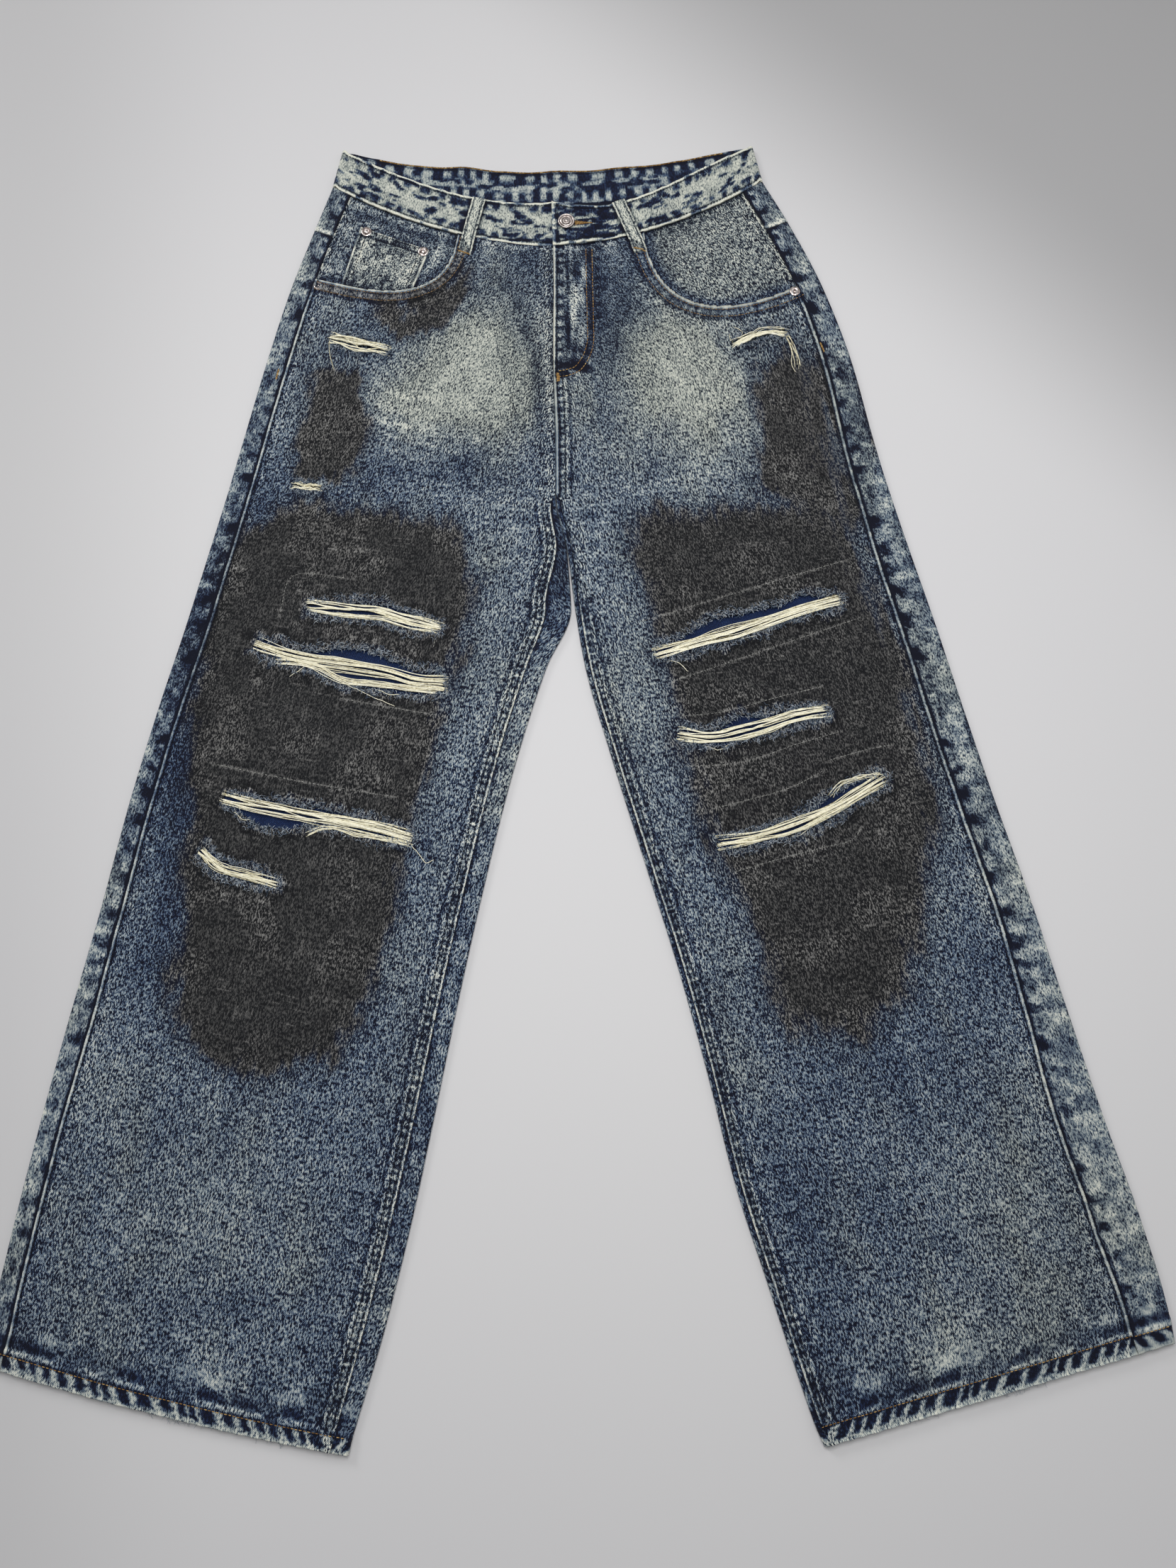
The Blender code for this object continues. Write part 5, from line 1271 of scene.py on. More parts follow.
def loop_cloth(name):
    """A belt loop: a narrow strip with a cream middle, dark stitched sides and a soft bow over the band."""
    top, bottom = (np.array(p) for p in BELT_LOOPS[name])
    share = np.linspace(0, 1, 60)
    line = top + (bottom - top) * share[:, None]
    on_band = band_height(line[:, 0], line[:, 1], name == "belt_loop_left") + BAND / 2
    on_front = top_layer(line[:, 0], line[:, 1], DENIM) + DENIM / 2
    over_band = 1 - ease(share, LOOP_SEAM_SHARE - 0.03, LOOP_SEAM_SHARE + 0.05)
    resting = on_front + (on_band - on_front) * over_band
    height = resting + SEAM + LOOP / 2 + LOOP_BOW * np.sin(math.pi * share) ** 2
    along = (bottom - top) / np.linalg.norm(bottom - top)
    beside = np.array([-along[1], along[0]])
    offset = np.linspace(-0.5, 0.5, 19)
    spot = line[:, None] + beside * (offset * LOOP_WIDTH)[:, None]
    dip = 0.35 * np.abs(offset * 2) ** 6
    grid = raised(spot, height[:, None] - dip)
    u = np.broadcast_to(offset * LOOP_WIDTH, spot.shape[:2])
    v = np.broadcast_to((share * 60)[:, None], spot.shape[:2])
    cloth = Cloth(grid, u, v)
    cloth.wash[:] = 0.70 + 0.07 * mottle(u, v, 7, 61) + 0.06 * mottle(u, v, 2.6, 62)
    cloth.grey[:] = 0.9
    cloth.speck[:] = 0.08
    cloth.wash -= 0.3 * ease(v, 24.0, 38.0) * ease(mottle(u, v * 0.6, 3.6, 63), -0.2, 0.4)
    cloth.wash += (0.24 - cloth.wash) * line_of(np.abs(u), 3.9, 0.8) + 0.16 * line_of(np.abs(u), 5.5, 0.7)
    cloth.lift(-0.18 * line_of(np.abs(u), 4.1, 0.9))
    return cloth, np.full((60, 1, 1), LOOP)


def patch_cloth(name):
    """A backing patch: a thin cloth of deep indigo between the front and the back."""
    spot, u, v, _, _ = four_sided(PATCHES[name], 30, 60)
    cloth = Cloth(raised(spot, PATCH_MIDDLE + 0.25 * mottle(u, v, 14, 64)), u, v)
    cloth.wash[:] = 0.19 + 0.03 * mottle(u, v, 7, 65)
    cloth.speck[:] = 0.05
    return cloth, np.full((30, 1, 1), PATCH)


def on_top(points, things, lift):
    """The height in mm of the highest surface below each of the places, and a lift."""
    trees = []
    for thing in things:
        mesh = thing.data
        spots = np.empty(len(mesh.vertices) * 3)
        mesh.vertices.foreach_get("co", spots)
        corners = np.empty(len(mesh.loops), dtype=np.int32)
        mesh.loops.foreach_get("vertex_index", corners)
        trees.append(BVHTree.FromPolygons(spots.reshape(-1, 3).tolist(), corners.reshape(-1, 4).tolist()))
    start = placed(np.column_stack([points, np.full(len(points), ABOVE_ALL)]))
    heights = np.zeros(len(points))
    for i, spot in enumerate(start):
        hits = [tree.ray_cast(Vector(spot), Vector((0, 0, -1)))[0] for tree in trees]
        heights[i] = max([hit.z / MM for hit in hits if hit is not None], default=0.0)
    return heights + lift


def stitches(name, lines, things, pitch, length, radius):
    """Rows of stitches as short rounded bars that dip into the cloth at both ends."""
    starts, ways = [], []
    rng = np.random.default_rng(70)
    for line in lines:
        line = np.array(line, dtype=float)
        run = run_along(line)
        at = np.arange(pitch / 2, run[-1] - pitch / 3, pitch)
        at = at + rng.uniform(-0.2, 0.2, len(at))
        ends = [read_line(line, run, at + way * length / 2) for way in (-1, 1)]
        starts.append(ends[0])
        ways.append(ends[1] - ends[0])
    start, way = np.concatenate(starts), np.concatenate(ways)
    height = on_top(start + way / 2, things, 0.0)
    t = np.linspace(0, 1, 5)
    flat = start[:, None] + way[:, None] * t[None, :, None]
    rise = height[:, None] + radius * (1.5 * np.sin(math.pi * t) - 0.5)[None]
    paths = raised(flat, rise)
    return tubes(name, paths, radius, 6, 0.45, rng.uniform(0, 1, len(paths)))


def offset_line(line, away):
    """A line moved sideways by a distance."""
    line = np.array(line, dtype=float)
    return line + headings(line)[1] * away


def row_line(side, first, last, from_out=None, from_in=None):
    """A line down a panel at a distance from its outseam or from its inner edge."""
    row = row_table(side, np.linspace(first, last, 120))
    if from_out is not None:
        return across(row, row["outseam"] + from_out)[:, 0]
    return across(row, row_length(row) - row["inseam"] - from_in)[:, 0]


def hem_line(side, up):
    """A line along the hem, a distance above its edge, over front and back."""
    place = station("hem_edge") - up / HEM_STEP
    row = row_table(side, np.array([place]))
    length = row_length(row)
    return across(row, 3.0 + (length - 6.0) * np.linspace(0, 1, 90)[None, :])[0]


def band_lines(side, margin):
    """The two rows of stitches along the waistband's front."""
    lower, upper = band_front_points(side, np.linspace(0.02, 0.985, 80))
    way = (upper - lower) / np.linalg.norm(upper - lower, axis=1, keepdims=True)
    return [lower + way * margin, upper - way * margin]


def pocket_rows():
    """Two rows of stitches along each front pocket's mouth."""
    mouths = {side: curve_points(POCKET_MOUTH[side], 80) for side in LEGS}
    return [offset_line(mouths[side], SIDE[side] * -away) for side in LEGS for away in (3.0, 10.2)]


def coin_rows():
    """The coin pocket's rows: two across its hem, and two down each side as far as they show."""
    a, b, c, d = (np.array(p) for p in COIN_CORNERS)
    rows = [np.array([a + (d - a) * s, b + (c - b) * s]) for s in (0.03, 0.12)]
    for share in (0.035, 0.11, 0.89, 0.965):
        top, bottom = a + (b - a) * share, d + (c - d) * share
        rows.append(np.array([top, top + (bottom - top) * 0.8]))
    return rows


def seam_rows():
    """The rows beside the outseams and inseams, and beside the centre seam."""
    rows = [row_line(side, 1.2, 17.0, from_out=2.8) for side in LEGS]
    inseams = (("right", 6.4, 2.6), ("right", 6.4, 7.6), ("left", 9.0, 2.4), ("left", 9.0, 6.0))
    rows += [row_line(side, top, 17.0, from_in=away) for side, top, away in inseams]
    centre = np.array([(4.8, 4.0), (6.2, 73.0), (5.1, 129.0), (7.1, 186.0), (8.8, 250.0)])
    return rows + [smooth_line(centre, 2.0) + [3.0, 0.0], smooth_line(centre[:3], 2.0) + [8.0, 0.0]]


def loop_rows():
    """A row down each side of both belt loops."""
    rows = []
    for top, bottom in BELT_LOOPS.values():
        top, bottom = np.array(top), np.array(bottom)
        way = bottom - top
        beside = np.array([-way[1], way[0]]) / np.linalg.norm(way) * 4.1
        rows += [np.array([top + beside * k + way * 0.03, bottom + beside * k - way * 0.03]) for k in (-1, 1)]
    return rows


def bartack(start, end, wide, end_wide):
    """A close zigzag between two places, from one width to another."""
    start, end = np.array(start, dtype=float), np.array(end, dtype=float)
    way = (end - start) / np.linalg.norm(end - start)
    beside = np.array([-way[1], way[0]])
    t = np.linspace(0, 1, 25)
    turn = np.where(np.arange(25) % 2 == 0, -0.5, 0.5) * (wide + (end_wide - wide) * t)
    return start + (end - start) * t[:, None] + beside * turn[:, None]


def yarn_paths(name):
    """The yarns of a rip: a few strands that wander apart and together, each yarn wavers by itself, and yarns
    lying lower get a darker painted shade.
    """
    rng = np.random.default_rng(100 + list(BUNDLES).index(name))
    paths, shades = [], []
    t = np.linspace(0, 1, 30)
    within = np.sin(math.pi * t)
    for line, wide, end_wide, count in BUNDLES[name]:
        middle = smooth_line(line, 1.0)
        at = np.linspace(0, len(middle) - 1, len(t))
        spine = read_line(middle, np.arange(len(middle)), at)
        way, beside = headings(spine)
        spread_out = end_wide + (wide - end_wide) * within ** 0.7
        strands = max(2, count // 5)
        strand_of = np.sort(rng.integers(0, strands, count))
        roam = [mottle(t * 100, 31.0 * s + 7.0 * count, 21, 75) for s in range(strands)]
        seed = rng.integers(1000, size=count)
        for i in range(count):
            centre = (strand_of[i] + 0.5) / strands - 0.5
            slit = 0.62 + 0.3 * mottle(t * 100, strand_of[i] * 11.0, 24, 99)
            place = centre + slit * rng.uniform(-0.5, 0.5) / strands
            stray = rng.uniform() < 0.3
            waver = mottle(t * 100 * rng.uniform(0.6, 1.3), seed[i] * 1.0, 13, 72)
            sway = 0.2 * wide * roam[strand_of[i]] + 0.8 * waver
            sway = sway + 0.45 * mottle(t * 100, seed[i] * 2.0, 6, 73)
            slack = 0.6 + 0.4 * mottle(t * 100, seed[i] * 4.0, 30, 87)
            sway = sway + stray * rng.normal(0, 0.3 * wide) * within ** 2 * slack
            reach = rng.uniform(-2.5, 3.0, 2)
            ends = np.where(t < 0.5, -reach[0] * (1 - 2 * t) ** 4, reach[1] * (2 * t - 1) ** 4)
            splay = place * 3.0 * np.abs(2 * t - 1) ** 6
            aside = place * spread_out + splay + sway * (0.35 + 0.65 * within ** 0.5)
            spot = spine + beside * aside[:, None]
            spot = spot + way * ends[:, None]
            deep = rng.uniform()
            high = 0.4 + (0.3 + 1.1 * deep) * within ** 0.6 + 0.15 * mottle(t * 100, seed[i] * 3.0, 9, 74)
            level = top_layer(spot[:, 0], spot[:, 1], DENIM) + DENIM / 2 + high - 0.5 * (2 * t - 1) ** 10
            paths.append(np.column_stack([spot, level + 0.6]))
            # Painted shade: yarns lying lower in the bundle get a darker shade
            shades.append(np.clip(0.1 + 0.75 * deep + rng.normal(0, 0.12), 0, 1))
    return paths, shades


def yarns(name):
    """One rip's yarns as a piece."""
    paths, shades = yarn_paths(name)
    girth = 0.27 + 0.12 * np.random.default_rng(len(paths)).uniform(size=len(paths))
    return tubes(name + "_yarns", np.array(paths), girth, 5, 0.35, shades)


def loose_yarns(name, lines, radius, things):
    """Yarns that have come loose and lie curled over the cloth."""
    paths = []
    for k, line in enumerate(lines):
        curve = smooth_line(line, 0.6)
        at = np.linspace(0, len(curve) - 1, 24)
        spot = read_line(curve, np.arange(len(curve)), at)
        spot[:, 1] += 0.5 * mottle(at * 0.6, k * 9.0, 3.0, 80)
        rise = on_top(spot, things, radius + 0.15) + 0.5 * np.abs(mottle(at * 0.6, k * 5.0, 4.0, 81))
        paths.append(np.column_stack([spot, rise]))
    return tubes(name, np.array(paths), radius, 5, 0.4, np.linspace(0.2, 0.9, len(paths)))


def rim_fibres(name, side):
    """Short curled fibres round the rips of a front: arcs that start on the rim and lean over its edge."""
    rng = np.random.default_rng({"right": 90, "left": 91}[side])
    paths, shades = [], []
    for key in rips_of(side):
        ring = hole(key)
        run = run_along(ring)
        count = int(run[-1] * 3.0)
        at = rng.uniform(0, run[-1], count)
        base = read_line(ring, run, at)
        way = read_line(ring, run, at + 0.5) - base
        way /= np.maximum(np.linalg.norm(way, axis=1, keepdims=True), 1e-6)
        out = np.column_stack([-way[:, 1], way[:, 0]])
        wide = 7.0 + 4.0 * mottle(base[:, 0], base[:, 1], 11, 12)
        back = rng.uniform(0, 1, count) ** 1.2 * wide
        base = base + out * back[:, None]
        turn = rng.normal(0, 0.8, count)
        heading = -out * np.cos(turn)[:, None] + way * np.sin(turn)[:, None]
        length = rng.uniform(1.8, 4.0, count)
        curl = rng.normal(0, 1.1, count)
        t = np.linspace(0, 1, 4)
        swing = np.stack([np.cos(curl[:, None] * t), np.sin(curl[:, None] * t)], -1)
        step = np.stack([heading[:, 0:1] * swing[..., 0] - heading[:, 1:2] * swing[..., 1],
                         heading[:, 0:1] * swing[..., 1] + heading[:, 1:2] * swing[..., 0]], -1)
        spot = base[:, None] + step * (length[:, None] * t)[..., None]
        high = rng.uniform(0.5, 1.5, count)[:, None] * np.sin(math.pi * np.minimum(t * 0.85 + 0.08, 1))[None]
        level = top_layer(spot[..., 0], spot[..., 1], DENIM) + DENIM / 2 + 0.7 + high
        paths.append(raised(spot, level))
        tone = np.where(rng.uniform(size=count) < 0.6, 0.02, 0.85) + rng.normal(0, 0.15, count)
        shades.append(np.clip(tone, 0, 1))
    return tubes(name, np.concatenate(paths), 0.24, 3, 0.5, np.concatenate(shades))


def hem_fibres(name):
    """Frayed fibres along the worn spots of the hems."""
    rng = np.random.default_rng(95)
    places = []
    worn = {"right": ((0.55, 0.10, 46), (0.8, 0.06, 16)), "left": ((0.42, 0.07, 34), (0.7, 0.05, 14))}
    for side, spots in worn.items():
        row = row_table(side, np.array([station("hem_edge")]))
        for share, wide, count in spots:
            at = np.clip(rng.normal(share, wide / 2, count), 0.04, 0.96)
            places.append(across(row, row_length(row) * at[None, :])[0] + [0.0, 1.0])
    base = np.concatenate(places)
    count = len(base)
    turn = rng.normal(-math.pi / 2, 0.6, count)
    length, curl = rng.uniform(2.5, 6.0, count), rng.normal(0, 0.9, count)
    t = np.linspace(0, 1, 6)
    angle = turn[:, None] + curl[:, None] * t
    spot = base[:, None] + np.stack([np.cos(angle), np.sin(angle)], -1) * (length[:, None] * t)[..., None]
    level = 3.2 + rng.uniform(-1.6, 1.0, count)[:, None] + 0.6 * t[None]
    paths = raised(spot, level)
    return tubes(name, paths, 0.13, 3, 0.5, rng.uniform(0.4, 1.0, count))


# Turned metal: the profiles as shares of the radius with their heights in mm
BUTTON_PROFILE = (
    (0.0, 0.0), (0.5, 0.0), (0.52, 0.8), (0.95, 1.0), (1.0, 1.4), (1.0, 1.9), (0.96, 2.3), (0.9, 2.5),
    (0.84, 2.4), (0.8, 2.15), (0.74, 2.1), (0.68, 2.3), (0.6, 2.45), (0.5, 2.35), (0.4, 2.2), (0.33, 2.25),
    (0.27, 2.5), (0.15, 2.65), (0.0, 2.7),
)
RIVET_PROFILE = (
    (0.9, -0.6), (0.98, 0.1), (1.0, 0.3), (0.94, 0.6), (0.8, 0.85), (0.62, 0.95), (0.5, 0.85), (0.42, 0.6),
    (0.3, 0.5), (0.2, 0.75), (0.1, 0.95), (0.0, 1.0),
)


def turned(name, place, base, widest, profile, sides):
    """A turned metal piece: the profile's radius and height swept round the upright axis at a place."""
    radius, height = np.array(profile).T * [[widest], [1.0]]
    angle = np.arange(sides) * 2 * math.pi / sides
    x = place[0] + radius[:, None] * np.cos(angle)
    y = place[1] + radius[:, None] * np.sin(angle)
    points = np.stack([x, y, np.broadcast_to((base + height)[:, None], x.shape)], -1)
    number = np.arange(points.shape[0] * sides).reshape(-1, sides)
    over = np.roll(number, -1, axis=1)
    faces = np.stack([number[:-1], over[:-1], over[1:], number[1:]], -1).reshape(-1, 4)
    return surface(name, placed(points.reshape(-1, 3)), faces)


# The weave: the scale of flecks and slubs, and the twill's pitch on denim and on the patches, in metres
FLECKS = 930.0
SLUBS = 400.0
TWILL = 0.0013
PATCH_TWILL = 0.0016

# The washed denim's colours from deep to worn: indigo, faded and stained
BLUE = ((0.0, (2, 6, 26)), (0.08, (10, 17, 44)), (0.18, (22, 36, 66)), (0.37, (74, 92, 114)),
        (0.55, (128, 141, 150)), (0.75, (182, 187, 184)), (1.0, (220, 220, 210)))
PALE = ((0.0, (5, 8, 24)), (0.16, (31, 39, 52)), (0.37, (87, 95, 97)), (0.56, (142, 148, 143)),
        (0.75, (188, 191, 181)), (1.0, (224, 223, 207)))
COAL = ((0.0, (9, 10, 14)), (0.13, (31, 32, 34)), (0.22, (56, 56, 56)), (0.34, (88, 87, 86)),
        (0.6, (142, 141, 138)), (1.0, (200, 198, 190)))
# Yarns and sewing thread: the material's name, and its colours from the darkest spots to the palest
YARN_COLOURS = {
    "yarn": ("yarn_cream",
             ((0.0, (72, 62, 44)), (0.25, (158, 148, 116)), (0.45, (228, 222, 194)), (1.0, (255, 252, 236)))),
    "fibre": ("fibre_faded",
              ((0.0, (18, 26, 46)), (0.3, (74, 88, 106)), (0.6, (140, 150, 162)), (1.0, (206, 211, 214)))),
    "tan": ("stitch_tan", ((0.0, (58, 42, 30)), (0.5, (122, 98, 70)), (1.0, (176, 156, 122)))),
    "gold": ("stitch_gold", ((0.0, (66, 44, 22)), (0.5, (142, 108, 62)), (1.0, (206, 176, 118)))),
    "pale": ("stitch_pale", ((0.0, (92, 92, 92)), (0.5, (142, 142, 138)), (1.0, (190, 190, 182)))),
    "dark": ("stitch_dark", ((0.0, (10, 12, 20)), (1.0, (38, 40, 50)))),
}


def linear(colour):
    """A colour from 0 to 255 as the shader's linear values."""
    c = np.array(colour, dtype=float) / 255
    return (*np.where(c <= 0.04045, c / 12.92, ((c + 0.055) / 1.055) ** 2.4), 1.0)


class Value:
    """A number in a shader: arithmetic on it adds math nodes."""

    def __init__(self, nodes, socket):
        self.nodes, self.socket = nodes, socket

    def math(self, operation, *others):
        node = self.nodes.add("ShaderNodeMath", operation=operation)
        for socket, value in zip(node.inputs, (self, *others)):
            self.nodes.put(socket, value)
        return Value(self.nodes, node.outputs[0])

    def __add__(self, other):
        return self.math("ADD", other)

    def __mul__(self, other):
        return self.math("MULTIPLY", other)

    def __sub__(self, other):
        return self.math("SUBTRACT", other)

    def __rsub__(self, other):
        return self * -1 + other

    __radd__, __rmul__ = __add__, __mul__

    def step(self, low, high):
        node = self.nodes.add("ShaderNodeMapRange", {"From Min": low, "From Max": high, "Value": self},
                              interpolation_type="SMOOTHSTEP")
        return Value(self.nodes, node.outputs["Result"])


class Nodes:
    """The nodes of one material, ending in a principled shader."""

    def __init__(self, name, **constants):
        self.material = bpy.data.materials.new(name)
        self.material.use_nodes = True
        self.tree = self.material.node_tree
        self.shader = self.tree.nodes["Principled BSDF"]
        for key, value in constants.items():
            self.shader.inputs[key.replace("_", " ").title().replace("Ior", "IOR")].default_value = value

    def add(self, kind, inputs=None, **settings):
        node = self.tree.nodes.new(kind)
        for key, value in settings.items():
            setattr(node, key, value)
        for key, value in (inputs or {}).items():
            self.put(node.inputs[key], value)
        return node

    def put(self, socket, value):
        if isinstance(value, Value):
            value = value.socket
        if isinstance(value, bpy.types.NodeSocket):
            self.tree.links.new(value, socket)
        else:
            socket.default_value = value

    def value(self, name):
        return Value(self, self.add("ShaderNodeAttribute", attribute_name=name).outputs["Fac"])

    def place(self, name=None, stretch=(1.0, 1.0, 1.0)):
        if name is None:
            start = self.add("ShaderNodeTexCoord").outputs["Object"]
        else:
            start = self.add("ShaderNodeAttribute", attribute_name=name).outputs["Vector"]
        node = self.add("ShaderNodeVectorMath", operation="MULTIPLY")
        self.put(node.inputs[0], start)
        self.put(node.inputs[1], stretch)
        return node.outputs[0]

    def noise(self, place, scale, detail=2.0, roughness=0.55):
        node = self.add("ShaderNodeTexNoise", {"Vector": place, "Scale": scale, "Detail": detail,
                                               "Roughness": roughness})
        return Value(self, node.outputs["Fac"])

    def ramp(self, value, stops):
        node = self.add("ShaderNodeValToRGB", {"Fac": value})
        ramp = node.color_ramp
        while len(ramp.elements) < len(stops):
            ramp.elements.new(0.5)
        for element, (place, colour) in zip(ramp.elements, stops):
            element.position = place
            element.color = linear(colour)
        return node.outputs["Color"]

    def mix(self, share, first, second):
        node = self.add("ShaderNodeMix", data_type="RGBA")
        self.put(node.inputs["Factor"], share)
        self.put(node.inputs[6], first)
        self.put(node.inputs[7], second)
        return node.outputs[2]

    def finish(self, colour, roughness, height=None, distance=0.0002, strength=0.6):
        self.put(self.shader.inputs["Base Color"], colour)
        self.put(self.shader.inputs["Roughness"], roughness)
        if height is not None:
            bump = self.add("ShaderNodeBump", {"Height": height, "Distance": distance, "Strength": strength})
            self.put(self.shader.inputs["Normal"], bump.outputs["Normal"])
        return self.material


def denim_material(gain):
    """Washed denim: the cloth's wash gives the tone, and flecks, slubs and the twill's diagonal move it.

    The flecks are longer down the cloth than across it, and the stain's edge breaks up along them.
    """
    n = Nodes("denim_washed", specular_ior_level=0.25, sheen_weight=0.05, sheen_roughness=0.5)
    flecks = n.noise(n.place("cloth", (1.0, 0.42, 1.0)), FLECKS, 1.0, 0.6)
    slubs = n.noise(n.place("cloth", (1.0, 0.28, 1.0)), SLUBS, 1.0)
    threads = n.add("ShaderNodeSeparateXYZ", {"Vector": n.place("cloth")})
    u, v = (Value(n, threads.outputs[k]) for k in (0, 1))
    twill = ((u * 1.0 + v * 0.75) * (2 * math.pi / TWILL)).math("SINE")
    speckle = ((flecks - 0.5) * 18.0 + (slubs - 0.5) * 7.0 + twill * 0.6) * gain
    speckle = speckle - speckle * speckle * 0.12 + 0.12
    tone = n.value("wash") + n.value("speck") * 1.35 * speckle
    upright = n.noise(n.place("cloth", (1.0, 0.1, 1.0)), 480.0, 0.0).step(0.58, 0.72)
    level = n.noise(n.place("cloth", (0.1, 1.0, 1.0)), 480.0, 0.0).step(0.6, 0.74)
    where = n.noise(n.place("cloth"), 26.0, 1.0)
    scratch = upright * where.step(0.5, 0.62) + level * where.step(0.5, 0.38)
    tone = tone + scratch * (n.value("smudge") * 0.09 + 0.015)
    colour = n.mix(n.value("grey"), n.ramp(tone, BLUE), n.ramp(tone, PALE))
    stain = (n.value("smudge") + (slubs - 0.5) * 0.7 + (flecks - 0.5) * 0.9).step(0.3, 0.72)
    colour = n.mix(stain * n.value("smudge").step(0.02, 0.3), colour, n.ramp(tone, COAL))
    return n.finish(colour, 0.82 + flecks * 0.16, twill * 0.35 + flecks * 1.6 + slubs * 1.6, 0.0003, 0.8)


def patch_material():
    """The patches' indigo twill, unworn and even."""
    n = Nodes("patch_indigo", specular_ior_level=0.25)
    flecks = n.noise(n.place("cloth"), 900.0, 2.0)
    threads = n.add("ShaderNodeSeparateXYZ", {"Vector": n.place("cloth")})
    u, v = (Value(n, threads.outputs[k]) for k in (0, 1))
    twill = ((u + v * 0.7) * (2 * math.pi / PATCH_TWILL)).math("SINE")
    tone = n.value("wash") + (flecks - 0.5) * 0.35 + twill * 0.035
    stops = ((0.0, (4, 8, 22)), (0.15, (12, 24, 54)), (0.25, (26, 45, 82)), (0.5, (72, 96, 130)))
    return n.finish(n.ramp(tone, stops), 0.9, twill * 0.8 + flecks, 0.0002, 0.7)


def yarn_material(name, stops):
    """Spun yarn: each yarn has its own shade, darker spots along it and a fine twist in relief."""
    n = Nodes(name, roughness=0.85, specular_ior_level=0.2)
    spots = n.noise(n.place(), 520.0, 2.0)
    tone = n.value("shade") * 0.5 + (spots - 0.5) * 0.9 + 0.28
    return n.finish(n.ramp(tone, stops), 0.78 + spots * 0.2, n.noise(n.place(), 2600.0, 1.0), 0.0001, 0.5)


def metal_material(name, place, rings):
    """Soft rose-silver metal with fine turned rings, brighter and duller in spots: the spots and rings in its
    colour are partly wear and turning marks, partly painted reflection.
    """
    n = Nodes(name, metallic=1.0)
    centre = placed(np.array([[place[0], place[1], 0.0]]))[0]
    node = n.add("ShaderNodeVectorMath", operation="DISTANCE")
    spot = n.place(None, (1.0, 1.0, 0.0))
    n.put(node.inputs[0], spot)
    n.put(node.inputs[1], (float(centre[0]), float(centre[1]), 0.0))
    ring = (Value(n, node.outputs["Value"]) * (2 * math.pi / rings)).math("SINE")
    wear = n.noise(n.place(), 420.0, 3.0)
    stops = ((0.2, (112, 98, 94)), (0.5, (200, 186, 180)), (0.8, (246, 238, 234)))
    # The colour's spots and rings: partly wear and turning marks, partly painted reflection
    return n.finish(n.ramp(wear + ring * 0.24, stops), 0.24 + wear * 0.25, ring * 0.8 + wear, 0.0002, 0.6)


def floor_material():
    """A pale matt surface with painted shade: darker towards its left side and its top right corner, fading
    out far from the middle.
    """
    n = Nodes("floor", roughness=0.9, specular_ior_level=0.1)
    cloud = n.noise(n.place(), 1.3, 1.0)
    place = n.add("ShaderNodeSeparateXYZ", {"Vector": n.place()})
    x, y = (Value(n, place.outputs[k]) for k in (0, 1))
    length = n.add("ShaderNodeVectorMath", operation="LENGTH")
    n.put(length.inputs[0], n.place())
    near = Value(n, length.outputs["Value"]).step(1.9, 0.95)
    # Painted shade, mixed towards black
    shade = (x.step(-0.24, -0.5) * 0.13 + (x + y).step(0.62, 1.0) * 0.37) * near
    pale = n.mix(cloud, linear((204, 203, 205)), linear((210, 209, 209)))
    return n.finish(n.mix(shade, pale, (0.0, 0.0, 0.0, 1.0)), 0.9)


MATERIALS = {}


def own(thing, material, slot, *nodes):
    """Give a piece its material and its place on the body, and hide the imported nodes it stands for; the
    slot is not used.
    """
    thing.data.materials.append(MATERIALS[material])
    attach(thing, "root")
    if nodes:
        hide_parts(*nodes)
    return thing


# The cloth that each panel was cut from: width and length in metres, and its area where it isn't a rectangle
CUTS = {
    "front_right": ((0.29, 1.04), 0.247),
    "front_left": ((0.29, 1.05), 0.239),
    "back_right": ((0.36, 1.0), 0.314),
    "back_left": ((0.37, 1.0), 0.312),
    "yoke_right": ((0.24, 0.07), 0.0137),
    "yoke_left": ((0.26, 0.07), 0.0134),
    "waistband": ((0.84, 0.042), None),
    "pocket_facing_right": ((0.17, 0.13), 0.0168),
    "pocket_facing_left": ((0.175, 0.14), 0.0191),
    "coin_pocket": ((0.069, 0.066), 0.0038),
    "belt_loop_right": ((0.0135, 0.061), None),
    "belt_loop_left": ((0.0135, 0.057), None),
}


def add_panel(name, cloth, thickness, material="denim", slot="denim", closed=False):
    thing = own(cloth.mesh(name + "_cloth", thickness, closed), material, slot, name)
    flat, area = CUTS[name] if name in CUTS else patch_cut(name)
    return thing


def patch_cut(name):
    """A patch's width and length, and its area from its four corners."""
    p = np.array(PATCHES[name]) * MM
    x, y = p[:, 0], p[:, 1]
    area = abs((x * np.roll(y, -1) - np.roll(x, -1) * y).sum()) / 2
    wide = max(np.linalg.norm(p[1] - p[0]), np.linalg.norm(p[2] - p[3]))
    high = max(np.linalg.norm(p[3] - p[0]), np.linalg.norm(p[2] - p[1]))
    return (float(wide), float(high)), float(area)


class JeansSettings(bpy.types.PropertyGroup):
    """What can be changed about the jeans' finish."""
    speckle: bpy.props.FloatProperty(name="Speckle", description="Strength of the denim's flecks",
                                     default=1.0, min=0.0, max=2.0)
    stitch_pitch: bpy.props.FloatProperty(name="Stitch pitch", description="Distance between stitches in mm",
                                          default=3.1, min=1.5, max=6.0)
    light: bpy.props.FloatProperty(name="Light", description="Strength of the studio light", default=1.0,
                                   min=0.0, max=4.0)


